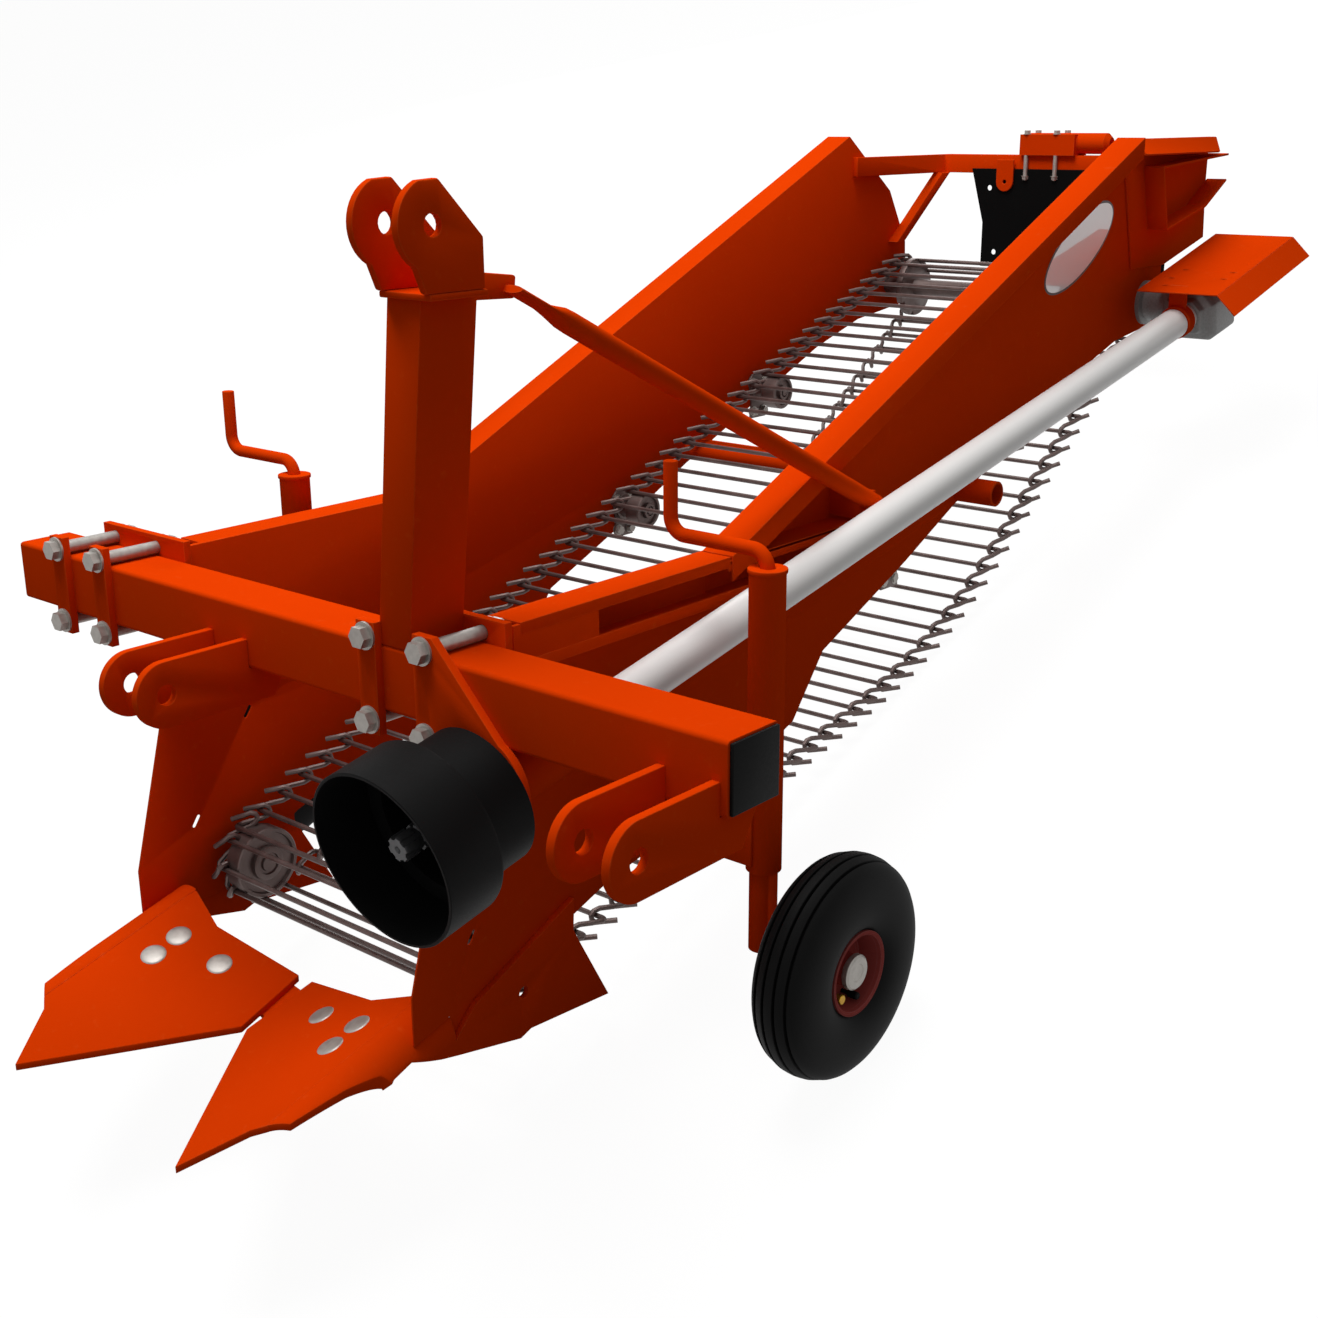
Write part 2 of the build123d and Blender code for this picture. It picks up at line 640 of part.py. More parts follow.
guard_front = -178.0
guard_step = -72.0
guard_back = -30.0
with BuildPart() as guard:
    with BuildSketch(shaft_plane.offset(guard_front)):
        Circle(guard_front_r)
        Circle(guard_front_r - guard_wall, mode=Mode.SUBTRACT)
    extrude(amount=guard_step - guard_front)
    with BuildSketch(shaft_plane.offset(guard_step)):
        Circle(guard_front_r)
        Circle(guard_rear_r - guard_wall, mode=Mode.SUBTRACT)
    extrude(amount=guard_wall)
    with BuildSketch(shaft_plane.offset(guard_step)):
        Circle(guard_rear_r)
        Circle(guard_rear_r - guard_wall, mode=Mode.SUBTRACT)
    extrude(amount=guard_back - guard_step)
    with BuildSketch(shaft_plane.offset(guard_back - guard_wall)):
        Circle(guard_rear_r)
        Circle(housing_r, mode=Mode.SUBTRACT)
    extrude(amount=guard_wall)
keep(guard, "pto_guard")

# Drive shaft tube up to the bevel gearbox on the left wall
head_run = head_reach / cos(shaft_turn)
gear_front = head_run - 60
with BuildPart() as shaft_tube:
    with BuildSketch(shaft_plane.offset(20)):
        Circle(shaft_tube_r)
        Circle(shaft_tube_r - shaft_tube_wall, mode=Mode.SUBTRACT)
    extrude(amount=gear_front - 20)
keep(shaft_tube, "shaft_tube")

with BuildPart() as gearbox:
    with BuildSketch(shaft_plane.offset(gear_front)):
        RectangleRounded(112, 104, 14)
    extrude(amount=124)
    rod_between((web_x + wall_out, head_reach, head_height), (shaft_x - 40, head_reach, head_height), 42)
keep(gearbox, "gearbox")

# Guard plate over the gearbox, bolted to the wall's outside
with BuildPart() as gear_guard:
    x_wall = web_x + wall_out
    with BuildSketch(shaft_plane.offset(gear_front - 90)):
        top = -60
        with BuildLine():
            Polyline((x_wall - shaft_x, top), (96, top), (134, top + 36), (134, top + 40), (95, top + 4),
                     (x_wall - shaft_x + 4, top + 4), (x_wall - shaft_x + 4, top + 14),
                     (x_wall - shaft_x, top + 14), close=True)
        make_face()
    extrude(amount=300)
keep(gear_guard, "gear_guard")

# Depth wheels: bracket and sleeve on each wall, crank on top, sliding leg, wheel
for side, sign in side_of.items():
    x_wall = wall_face[side]
    x_leg = x_wall + sign * leg_out[side]
    y_leg = leg_reach
    with BuildPart() as sleeve:
        with BuildSketch(Plane.XY.offset(sleeve_bottom)):
            with Locations((x_leg, y_leg)):
                Circle(sleeve_r)
                Circle(leg_r + leg_slide, mode=Mode.SUBTRACT)
        extrude(amount=sleeve_top - sleeve_bottom)
        with BuildSketch(Plane.XY.offset(sleeve_top)):
            with Locations((x_leg, y_leg)):
                Circle(sleeve_r + 2)
                Circle(crank_r + crank_slack, mode=Mode.SUBTRACT)
        extrude(amount=sleeve_cap)
    keep(sleeve, f"leg_sleeve_{side}")

    with BuildPart() as bracket:
        x_pair = sorted((x_wall, x_leg))
        block(x_pair, (leg_reach - 30, leg_reach - 18), (277, 400))
        with BuildSketch(Plane.XY.offset(270)):
            with Locations((x_leg, y_leg)):
                Circle(sleeve_r)
        extrude(amount=200, mode=Mode.SUBTRACT)
    keep(bracket, f"leg_bracket_{side}")

    with BuildPart() as crank:
        arm_height = sleeve_top + sleeve_cap + 22
        x_grip = x_leg - crank_throw
        with BuildLine():
            FilletPolyline((x_leg, y_leg, sleeve_top), (x_leg, y_leg, arm_height), (x_grip, y_leg, arm_height),
                           (x_grip, y_leg, arm_height + crank_grip), radius=crank_bend)
        with BuildSketch(Plane.XY.offset(sleeve_top)):
            with Locations((x_leg, y_leg)):
                Circle(crank_r)
        sweep()
    keep(crank, f"crank_{side}")

    x_wheel = x_leg + sign * wheel_out
    axle_end = x_wheel + sign * 24
    with BuildPart() as leg:
        with BuildSketch(Plane.XY.offset(leg_bottom)):
            with Locations((x_leg, y_leg)):
                Circle(leg_r)
                Circle(leg_r - 4, mode=Mode.SUBTRACT)
        extrude(amount=leg_top - leg_bottom)
        rod_between((x_leg + sign * (leg_r - 3), y_leg, wheel_r), (axle_end, y_leg, wheel_r), axle_r)
        rod_between((x_leg + sign * (leg_r - 3), y_leg, wheel_r), (x_wheel - sign * 40, y_leg, wheel_r), axle_r + 5)
    keep(leg, f"leg_{side}")

    axis = Axis((x_wheel, y_leg, wheel_r), (1, 0, 0))
    half = tyre_wide / 2
    rim_plane = Plane(origin=(x_wheel, y_leg, wheel_r), x_dir=(sign, 0, 0), z_dir=(0, -sign, 0))
    with BuildPart() as rim:
        with BuildSketch(rim_plane):
            with BuildLine():
                Polyline((-38, axle_r + axle_fit), (24, axle_r + axle_fit), (24, 0), (34, 0), (34, hub_r), (8, hub_r),
                         (2, 48), (38, 52), (38, rim_r), (34, rim_r), (30, rim_r - 6), (-30, rim_r - 6),
                         (-34, rim_r), (-38, rim_r), (-38, 52), (-4, 48), (-4, hub_r), (-38, hub_r), close=True)
            make_face()
        revolve(axis=axis)
    keep(rim, f"rim_{side}")

    with BuildPart() as tyre:
        shoulder = [(38, rim_r + 4), (half, rim_r + 26), (half, wheel_r - 38), (38, wheel_r - 14), (28, wheel_r - 3)]
        with BuildSketch(rim_plane):
            Polygon((-30, rim_r - 6), (30, rim_r - 6), (34, rim_r), *shoulder, (12, wheel_r), (-12, wheel_r),
                    *[(-across, radius) for across, radius in reversed(shoulder)], (-34, rim_r), align=None)
        revolve(axis=axis)
    keep(tyre, f"tyre_{side}")

# Tail: bracket behind the left wall, cross bar with strut, rubber curtain, clamp arm
x_left = web_x + wall_out
x_right = web_x - wall_in
bar_top_height = rear_bar_height + rear_bar_high
with BuildPart() as tail:
    lower_edge = [(tail_reach - 260, rear_bar_height - 90), (tail_reach - 110, rear_bar_height - 80),
                  (tail_reach, rear_bar_height - 25)]
    outline = [(wall_top_reach + 24, bar_top_height + 15), (tail_reach - 35, bar_top_height + 15),
               (tail_reach, bar_top_height - 5), *reversed(lower_edge)]
    lower_flange = lower_edge + [(reach, height + tail_plate) for reach, height in reversed(lower_edge)]
    for width, points in ((tail_plate, outline), (45, lower_flange)):
        with BuildSketch(Plane.YZ.offset(x_left)):
            Polygon(*points, align=None)
        extrude(amount=width)
keep(tail, "tail_bracket")

bar_front = tail_reach - rear_bar_deep
strut_foot = rear_bar_height - 145
with BuildPart() as rear_bar:
    block((x_right, x_left), (bar_front, tail_reach), (rear_bar_height, bar_top_height))
    block((x_right, x_right + 12), (wall_top_reach + 14, bar_front), (rear_bar_height, bar_top_height))
    with BuildSketch(Plane.YZ.offset(x_right)):
        Polygon(*[(tail_reach - 250, strut_foot), (tail_reach - 220, strut_foot), (tail_reach - 35, rear_bar_height),
                  (tail_reach - 70, rear_bar_height)], align=None)
    extrude(amount=24)
keep(rear_bar, "rear_bar")

with BuildPart() as curtain:
    block((x_right + 70, x_left - 20), (bar_front - 5, bar_front), (rear_bar_height - 206, rear_bar_height + 20))
keep(curtain, "curtain")

with BuildPart() as clamp_arm:
    block((x_right + 210, x_right + 420), (tail_reach - 35, tail_reach - 5), (bar_top_height, bar_top_height + 30))
keep(clamp_arm, "clamp_arm")


# Parking: left alone the machine tips back about its wheels until the slack web lies on the floor
def rest_angle(reach, height):
    """Tip at which a hook's end meets the floor line under the tyres."""
    across = reach - leg_reach
    up = height - wheel_r
    return atan2(up, across) + asin(wheel_r / hypot(across, up))


park_tip = degrees(min(rest_angle(reach, height) for reach, height in web_tips if reach > leg_reach + 2 * wheel_r))
tipped = Location((0, 0, wheel_r), (-park_tip, 0, 0)) * Location((0, -leg_reach, -wheel_r))
ends = [piece.moved(tipped).bounding_box() for piece in pieces.values()]
middle = (min(box.min.Y for box in ends) + max(box.max.Y for box in ends)) / 2
parked = Location((0, -middle, 0)) * tipped

os.makedirs("parts", exist_ok=True)
for name, piece in pieces.items():
    placed = piece.moved(parked)
    placed.label = name
    export_step(placed, f"parts/{name}.step")
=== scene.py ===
import json
import math

import bmesh
import bpy
from mathutils import Matrix, Vector


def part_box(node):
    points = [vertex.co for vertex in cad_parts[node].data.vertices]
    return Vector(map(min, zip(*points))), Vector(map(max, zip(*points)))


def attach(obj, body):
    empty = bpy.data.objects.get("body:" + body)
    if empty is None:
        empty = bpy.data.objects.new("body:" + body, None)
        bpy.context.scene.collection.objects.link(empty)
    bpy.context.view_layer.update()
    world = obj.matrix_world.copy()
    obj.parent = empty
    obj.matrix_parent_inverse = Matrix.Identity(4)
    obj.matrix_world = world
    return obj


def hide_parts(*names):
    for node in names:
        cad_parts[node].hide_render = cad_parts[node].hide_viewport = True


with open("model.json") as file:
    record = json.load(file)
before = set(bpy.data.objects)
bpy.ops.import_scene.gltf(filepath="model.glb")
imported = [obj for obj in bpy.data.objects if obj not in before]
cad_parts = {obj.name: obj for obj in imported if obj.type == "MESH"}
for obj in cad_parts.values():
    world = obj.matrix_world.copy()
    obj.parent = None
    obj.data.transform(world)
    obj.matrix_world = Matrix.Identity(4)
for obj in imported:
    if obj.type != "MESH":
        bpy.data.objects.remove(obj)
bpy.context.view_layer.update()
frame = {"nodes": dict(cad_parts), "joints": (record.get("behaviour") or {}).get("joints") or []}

# How the machine stands. Left alone it tips back about its wheels until the slack web lies on the
# floor. Places below are read as on its drawing, level and in millimetres: across (left is plus),
# reach back from the toolbar's face, and height. One matrix puts them where the parked machine is.
MM = 0.001
joints = {joint["name"]: joint for joint in frame["joints"]}
leg_axis = Vector(joints["leg_left_slide"]["axis"])
park_tip = math.atan2(leg_axis.y, leg_axis.z)
axle_place = {side: Vector(joints[f"wheel_{side}_spin"]["pos_m"]) for side in ("left", "right")}
axle_reach = 400.0
axle_height = 158.0
parked = (Matrix.Translation((0, axle_place["left"].y, axle_place["left"].z))
          @ Matrix.Rotation(-park_tip, 4, "X")
          @ Matrix.Translation((0, -axle_reach * MM, -axle_height * MM)) @ Matrix.Scale(MM, 4))
level = parked.normalized().to_3x3()


# Camera: a normal lens beside the machine's front left corner, a little above the mast. It is placed and
# turned on the drawing too, so it sees the machine level.
eye = (1738.2, -1329.9, 1256.2)
eye_turn = math.radians(40.3185)
eye_down = math.radians(17.7243)
eye_roll = math.radians(-0.335)
camera = bpy.data.objects.new("camera", bpy.data.cameras.new("camera"))
camera.data.sensor_width = 36.0
camera.data.lens = 46.354
camera.data.clip_end = 100.0
aim = Matrix.Rotation(eye_turn, 4, "Z") @ Matrix.Rotation(math.pi / 2 - eye_down, 4, "X")
aim = aim @ Matrix.Rotation(eye_roll, 4, "Z")
camera.matrix_world = Matrix.Translation(parked @ Vector(eye)) @ (level @ aim.to_3x3()).to_4x4()
bpy.context.scene.collection.objects.link(camera)
bpy.context.scene.camera = camera


# Studio: a white floor that keeps a soft shadow, one broad lamp overhead and a weak one behind.
# The floor throws little light back up, so upright faces stay much deeper in tone than flat ones.
def colour(code):
    """sRGB hex as linear RGBA."""
    parts = [int(code[i:i + 2], 16) / 255 for i in (1, 3, 5)]
    return [p / 12.92 if p <= 0.04045 else ((p + 0.055) / 1.055) ** 2.4 for p in parts] + [1.0]


def add(tree, kind, settings=None, inputs=None):
    """One node with its settings, input values and links."""
    made = tree.nodes.new(kind)
    for name, value in (settings or {}).items():
        setattr(made, name, value)
    for name, value in (inputs or {}).items():
        socket = made.inputs[name]
        if isinstance(value, bpy.types.NodeSocket):
            tree.links.new(value, socket)
        else:
            socket.default_value = value
    return made


def piece_from(name, points, faces=()):
    """A new mesh object at the origin."""
    mesh = bpy.data.meshes.new(name)
    mesh.from_pydata([tuple(p) for p in points], (), faces)
    piece = bpy.data.objects.new(name, mesh)
    bpy.context.scene.collection.objects.link(piece)
    return piece


def looked_at(tree):
    """A socket that is 1 for rays from the eye, straight, mirrored or through glass, and 0 for others."""
    path = add(tree, "ShaderNodeLightPath")
    mirrored = add(tree, "ShaderNodeMath", {"operation": "MAXIMUM"},
                   {0: path.outputs["Is Camera Ray"], 1: path.outputs["Is Glossy Ray"]})
    return add(tree, "ShaderNodeMath", {"operation": "MAXIMUM"},
               {0: mirrored.outputs[0], 1: path.outputs["Is Transmission Ray"]}).outputs[0]


floor_half = 30.0
floor_lift = 0.90
floor_glow = 1.06
world_fill = 0.19
floor = piece_from("floor", [(-floor_half, -floor_half, 0), (floor_half, -floor_half, 0),
                             (floor_half, floor_half, 0), (-floor_half, floor_half, 0)], [(0, 1, 2, 3)])
floor_paint = bpy.data.materials.new("white studio floor")
floor_paint.use_nodes = True
tree = floor_paint.node_tree
tree.nodes.clear()
seen = looked_at(tree)
tone = add(tree, "ShaderNodeMix", {"data_type": "RGBA"},
           {"Factor": seen, 6: colour("#8C8C8C"), 7: colour("#F4F4F3")})
lift = add(tree, "ShaderNodeMath", {"operation": "MULTIPLY"}, {0: seen, 1: floor_lift})
matt = add(tree, "ShaderNodeBsdfDiffuse", None, {"Color": tone.outputs[2]})
glow = add(tree, "ShaderNodeEmission", None, {"Color": colour("#FFFFFF"), "Strength": floor_glow})
mixed = add(tree, "ShaderNodeMixShader", None,
            {0: lift.outputs[0], 1: matt.outputs[0], 2: glow.outputs[0]})
add(tree, "ShaderNodeOutputMaterial", None, {"Surface": mixed.outputs[0]})
floor.data.materials.append(floor_paint)

world = bpy.data.worlds.new("studio")
bpy.context.scene.world = world
world.use_nodes = True
tree = world.node_tree
tree.nodes.clear()
fill = add(tree, "ShaderNodeBackground", None, {"Color": colour("#FFFFFF"), "Strength": world_fill})
white = add(tree, "ShaderNodeBackground", None, {"Color": colour("#FFFFFF"), "Strength": 1.0})
mixed = add(tree, "ShaderNodeMixShader", None,
            {0: looked_at(tree), 1: fill.outputs[0], 2: white.outputs[0]})
add(tree, "ShaderNodeOutputWorld", None, {"Surface": mixed.outputs[0]})

# name, place on the drawing in mm, size in m, watts
lamps = [("overhead", (-500, -300, 5600), 3.0, 250.0),
         ("behind", (-2600, 4600, 2600), 3.0, 90.0)]
aimed_at = parked @ Vector((0, 700, 500))
for name, place, size, watts in lamps:
    lamp = bpy.data.objects.new(name, bpy.data.lights.new(name, "AREA"))
    lamp.data.size = size
    lamp.data.energy = watts
    lamp.location = parked @ Vector(place)
    lamp.rotation_euler = (aimed_at - lamp.location).to_track_quat("-Z", "Y").to_euler()
    bpy.context.scene.collection.objects.link(lamp)
bpy.context.scene.view_settings.view_transform = "Standard"


# Painted steelwork: plate, tube and folded sheet, welded up and sprayed with one coat of orange-red
# enamel. The coat has a fine orange peel, drifts a little in tone, and is rubbed along its edges.
def start_finish(name):
    """A finish to build on: its material, tree, shader and Object coordinates in metres."""
    material = bpy.data.materials.new(name)
    material.use_nodes = True
    made = material.node_tree
    made.nodes.clear()
    shader = add(made, "ShaderNodeBsdfPrincipled")
    add(made, "ShaderNodeOutputMaterial", None, {"Surface": shader.outputs[0]})
    place = add(made, "ShaderNodeTexCoord").outputs["Object"]
    return material, made, shader, place


def per_metre(size_mm):
    """Pattern scale for a real size in millimetres."""
    return 1.0 / (size_mm * MM)


def enamel(name, body_code, drift_code, rubbed_code, gloss, shine=0.0):
    """Sprayed enamel: broad drift of tone, fine mottle, orange peel and rubbed edges."""
    material, made, shader, place = start_finish(name)
    broad = add(made, "ShaderNodeTexNoise", None, {"Vector": place, "Scale": per_metre(260), "Detail": 3.0})
    tone = add(made, "ShaderNodeMix", {"data_type": "RGBA"},
               {"Factor": broad.outputs["Fac"], 6: colour(body_code), 7: colour(drift_code)})
    corner = add(made, "ShaderNodeBevel", {"samples": 4}, {"Radius": 2.2 * MM})
    facing = add(made, "ShaderNodeNewGeometry")
    turned_by = add(made, "ShaderNodeVectorMath", {"operation": "DOT_PRODUCT"},
                    {0: corner.outputs[0], 1: facing.outputs["Normal"]})
    fine = add(made, "ShaderNodeTexNoise", None, {"Vector": place, "Scale": per_metre(14), "Detail": 4.0})
    worn = add(made, "ShaderNodeMath", {"operation": "MULTIPLY_ADD"},
               {0: fine.outputs["Fac"], 1: -0.16, 2: turned_by.outputs["Value"]})
    edge = add(made, "ShaderNodeMapRange", None,
               {"Value": worn.outputs[0], "From Min": 0.80, "From Max": 0.90, "To Min": 0.5, "To Max": 0.0})
    rubbed = add(made, "ShaderNodeMix", {"data_type": "RGBA"},
                 {"Factor": edge.outputs[0], 6: tone.outputs[2], 7: colour(rubbed_code)})
    made.links.new(rubbed.outputs[2], shader.inputs["Base Color"])
    dull = add(made, "ShaderNodeMapRange", None,
               {"Value": fine.outputs["Fac"], "To Min": gloss - 0.06, "To Max": gloss + 0.10})
    made.links.new(dull.outputs[0], shader.inputs["Roughness"])
    shader.inputs["Specular IOR Level"].default_value = shine
    peel = add(made, "ShaderNodeTexNoise", None, {"Vector": place, "Scale": per_metre(3.5), "Detail": 1.0})
    bump = add(made, "ShaderNodeBump", None,
               {"Strength": 0.10, "Distance": 0.4 * MM, "Height": peel.outputs["Fac"]})
    made.links.new(bump.outputs[0], shader.inputs["Normal"])
    return material


orange_enamel = enamel("orange-red enamel", "#E44003", "#D93A01", "#EE6A34", 0.42)


def dress(piece, finish):
    """Give a piece one finish."""
    piece.data.materials.clear()
    piece.data.materials.append(finish)


def smooth(piece, angle):
    """Smooth shading up to an angle between faces, in degrees."""
    piece.data.shade_smooth()
    piece.data.set_sharp_from_angle(angle=math.radians(angle))


def made_plain(piece):
    """Make a piece's modifiers plain mesh."""
    graph = bpy.context.evaluated_depsgraph_get()
    piece.data = bpy.data.meshes.new_from_object(piece.evaluated_get(graph))
    piece.modifiers.clear()


def settle(piece, body, slot, *nodes):
    """Make a piece plain mesh and fix it to its body."""
    made_plain(piece)
    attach(piece, body)
    if nodes:
        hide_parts(*nodes)


def merged(node):
    """A node's mesh with its triangles joined up and its flat faces made whole."""
    shape = bmesh.new()
    shape.from_mesh(frame["nodes"][node].data)
    bmesh.ops.remove_doubles(shape, verts=shape.verts, dist=0.02 * MM)
    bmesh.ops.dissolve_limit(shape, angle_limit=math.radians(0.6), verts=shape.verts, edges=shape.edges)
    return shape


def piece_of(name, shape):
    """A new object from a bmesh, which is freed."""
    piece = piece_from(name, [])
    shape.to_mesh(piece.data)
    shape.free()
    return piece


def round_edges(piece, round_mm):
    """Round a piece's sharp edges."""
    edge = piece.modifiers.new("edge", "BEVEL")
    edge.width = round_mm * MM
    edge.segments = 2
    edge.limit_method = "ANGLE"
    edge.angle_limit = math.radians(35)


def eased(node, finish, body, slot, round_mm):
    """A node's own shape with its sharp edges rounded."""
    piece = piece_of(node + "_eased", merged(node))
    round_edges(piece, round_mm)
    settle(piece, body, slot, node)
    dress(piece, finish)
    smooth(piece, 38)


painted = ["toolbar", "hitch_left", "hitch_right", "mast", "clamp_straps", "gear_plate",
           "arm_left", "arm_right", "wall_left", "wall_right", "cheek_left", "cheek_right",
           "share_carrier", "brace_lug",
           "leg_sleeve_left", "leg_sleeve_right", "leg_bracket_left", "leg_bracket_right",
           "crank_left", "crank_right", "rear_bar"]
edge_round = 1.2
for node in painted:
    eased(node, orange_enamel, "frame", "orange_paint", edge_round)
for side in ("left", "right"):
    eased(f"leg_{side}", orange_enamel, f"leg_{side}", "orange_paint", edge_round)


# Mast head: two ears of painted plate, flame-cut round the top link's bore and chamfered behind, welded
# to a cap plate on the mast. A lug behind the cap holds the brace.
def outward(piece):
    """Turn a closed mesh's faces outwards."""
    shape = bmesh.new()
    shape.from_mesh(piece.data)
    bmesh.ops.recalc_face_normals(shape, faces=shape.faces)
    shape.to_mesh(piece.data)
    shape.free()


def cut_sheet(name, outline, holes, place_of, thick):
    """A flat sheet with holes, from 2-D outlines in mm, thickened both ways from its middle."""
    shape = bmesh.new()
    for ring in [outline, *holes]:
        verts = [shape.verts.new(parked @ place_of(x, y)) for x, y in ring]
        for index, vert in enumerate(verts):
            shape.edges.new((vert, verts[(index + 1) % len(verts)]))
    bmesh.ops.triangle_fill(shape, use_beauty=True, use_dissolve=False, edges=shape.edges)
    piece = piece_of(name, shape)
    body = piece.modifiers.new("thickness", "SOLIDIFY")
    body.thickness = thick * MM
    body.offset = 0.0
    round_edges(piece, 0.25 * thick)
    made_plain(piece)
    outward(piece)
    return piece


def round_hole(x, y, wide, high):
    """A hole's outline, round or drawn out, about its middle."""
    angles = [step * math.pi / 8 for step in range(16)]
    return [(x + wide * math.cos(angle), y + high * math.sin(angle)) for angle in angles]


def oblong(across, up):
    """A rectangle's corners from its two spans."""
    return [(across[0], up[0]), (across[1], up[0]), (across[1], up[1]), (across[0], up[1])]


def joined(name, parts, finish, body, slot, *nodes):
    """Several meshes of one finish as one piece on a body."""
    shape = bmesh.new()
    for part in parts:
        shape.from_mesh(part.data)
        bpy.data.objects.remove(part)
    piece = piece_of(name, shape)
    settle(piece, body, slot, *nodes)
    dress(piece, finish)
    smooth(piece, 32)


mast_x = 238.0
ear_gap = 65.0
ear_plate = 12.0
link_bore = 1142.0
bore_r = 12.9
ear_round = 53.0
cap_top = 1066.0
cap_plate = 8.0
ear_rear = 78.0
lug_plate = 16.0
ear_angles = [math.radians(angle) for angle in range(112, 241, 8)]
ear_edge = [(ear_round * math.cos(angle), link_bore + ear_round * math.sin(angle)) for angle in ear_angles]
ear_edge += [(-14, cap_top), (ear_rear, cap_top), (ear_rear, 1126), (11, link_bore + ear_round * 0.96)]
parts = []
for side in (-1, 1):
    ear_x = mast_x + side * (ear_gap + ear_plate) / 2
    parts.append(cut_sheet("ear", ear_edge, [round_hole(0, link_bore, bore_r, bore_r)],
                           lambda reach, height: Vector((ear_x, reach, height)), ear_plate))
cap_half = ear_gap / 2 + ear_plate
cap_middle = cap_top - cap_plate / 2
parts.append(cut_sheet("cap", oblong((-cap_half, cap_half), (-9, ear_rear + 4)), [],
                       lambda across, reach: Vector((mast_x + across, reach, cap_middle)), cap_plate))
lug_edge = [(ear_rear - 10, 1050), (163, 1046), (166, 1074), (ear_rear - 10, 1086)]
parts.append(cut_sheet("lug", lug_edge, [], lambda reach, height: Vector((mast_x, reach, height)), lug_plate))
joined("mast_head_ears", parts, orange_enamel, "frame", "orange_paint", "mast_head")


# Arm rails: behind its kink each arm runs on level along the wall's outside as a lipped channel of
# painted sheet, welded on. A plate closes the arm's open side next to the toolbar, over the bolts' nuts.
web_x = -95.5
wall_out = 311.0
rail_wide = 52.0
rail_sheet = 6.0
rail_lip = 16.0
rail_top = 639.0
rail_low = 578.0
rail_run = (562.0, 930.0)
cover_run = (118.0, 279.0)
cover_tall = (580.0, 644.0)
cover_proud = 1.5
for side, sign in (("left", 1), ("right", -1)):
    parts = []
    wall_x = web_x + sign * wall_out
    edge_x = wall_x + sign * (rail_wide - rail_sheet / 2)
    cover_x = edge_x + sign * cover_proud
    for height in (rail_top - rail_sheet / 2, rail_low + rail_sheet / 2):
        parts.append(cut_sheet("flange", oblong((0, rail_wide), rail_run), [],
                               lambda out, reach: Vector((wall_x + sign * out, reach, height)), rail_sheet))
    for tall in ((rail_low, rail_low + rail_lip), (rail_top - rail_lip, rail_top)):
        parts.append(cut_sheet("lip", oblong(rail_run, tall), [],
                               lambda reach, height: Vector((edge_x, reach, height)), rail_sheet))
    parts.append(cut_sheet("cover", oblong(cover_run, cover_tall), [],
                           lambda reach, height: Vector((cover_x, reach, height)), rail_sheet))
    joined(f"arm_rail_{side}", parts, orange_enamel, "frame", "orange_paint")


# Mast brace: a painted steel tube from the mast head down to the left wall's lug, its upper end pressed
# flat and held on the mast head's lug.
def lofted(name, rings, closed):
    """A skin over rings of equally many points, with its two ends open or closed."""
    count = len(rings[0])
    faces = []
    for start in range(0, count * (len(rings) - 1), count):
        for index in range(count):
            after = (index + 1) % count
            faces.append((start + index, start + after, start + count + after, start + count + index))
    if closed:
        faces += [tuple(range(count)), tuple(count * (len(rings) - 1) + index for index in range(count))]
    piece = piece_from(name, [point for ring in rings for point in ring], faces)
    outward(piece)
    return piece


brace_high = Vector((258.5, 143, 1060))
brace_low = Vector((290, 910, 668))
tube_half = 15.0
flat_half = 20.0
flat_thick = 5.0
brace_way = (brace_low - brace_high).normalized()
brace_up = (Vector((0, 0, 1)) - brace_way * brace_way.z).normalized()
brace_side = brace_way.cross(brace_up)
brace_long = (brace_low - brace_high).length
# place along the tube, half width across and half height
pressed = [(0, flat_half, flat_thick), (58, flat_half, flat_thick), (72, 19.0, 8.5), (92, 16.2, 14.0),
           (108, tube_half, tube_half), (brace_long, tube_half, tube_half)]
ring_steps = 28
angles = [2 * math.pi * step / ring_steps for step in range(ring_steps)]
rings = [[parked @ (brace_high + brace_way * run + brace_side * wide * math.cos(angle)
                    + brace_up * high * math.sin(angle)) for angle in angles]
         for run, wide, high in pressed]
brace = lofted("mast_brace_pressed", rings, True)
settle(brace, "frame", "orange_paint", "mast_brace")
dress(brace, orange_enamel)
smooth(brace, 45)


# Cross tube: a plain painted steel tube right through both walls, between the web's two runs. It is welded
# in and left open at its ends.
def turned(name, outline, start, axis, steps):
    """A closed outline of (run, radius) pairs in mm, spun about an axis."""
    to_axis = Matrix.Translation(start) @ axis.to_track_quat("Z", "Y").to_matrix().to_4x4()
    shape = bmesh.new()
    rows = []
    for step in range(steps):
        angle = 2 * math.pi * step / steps
        turn = Vector((math.cos(angle), math.sin(angle), 0))
        rows.append([shape.verts.new(to_axis @ (turn * (radius * MM) + Vector((0, 0, run * MM))))
                     for run, radius in outline])
    for step, row in enumerate(rows):
        after = rows[(step + 1) % steps]
        for index in range(len(outline)):
            last = (index + 1) % len(outline)
            shape.faces.new((row[index], row[last], after[last], after[index]))
    bmesh.ops.remove_doubles(shape, verts=shape.verts, dist=1e-6)
    bmesh.ops.dissolve_degenerate(shape, edges=shape.edges, dist=1e-6)
    bmesh.ops.recalc_face_normals(shape, faces=shape.faces)
    return piece_of(name, shape)


def spun(name, outline, start, axis, steps, finish, body, slot, *nodes):
    """One turned piece of one finish on a body."""
    joined(name, [turned("blank", outline, start, axis, steps)], finish, body, slot, *nodes)


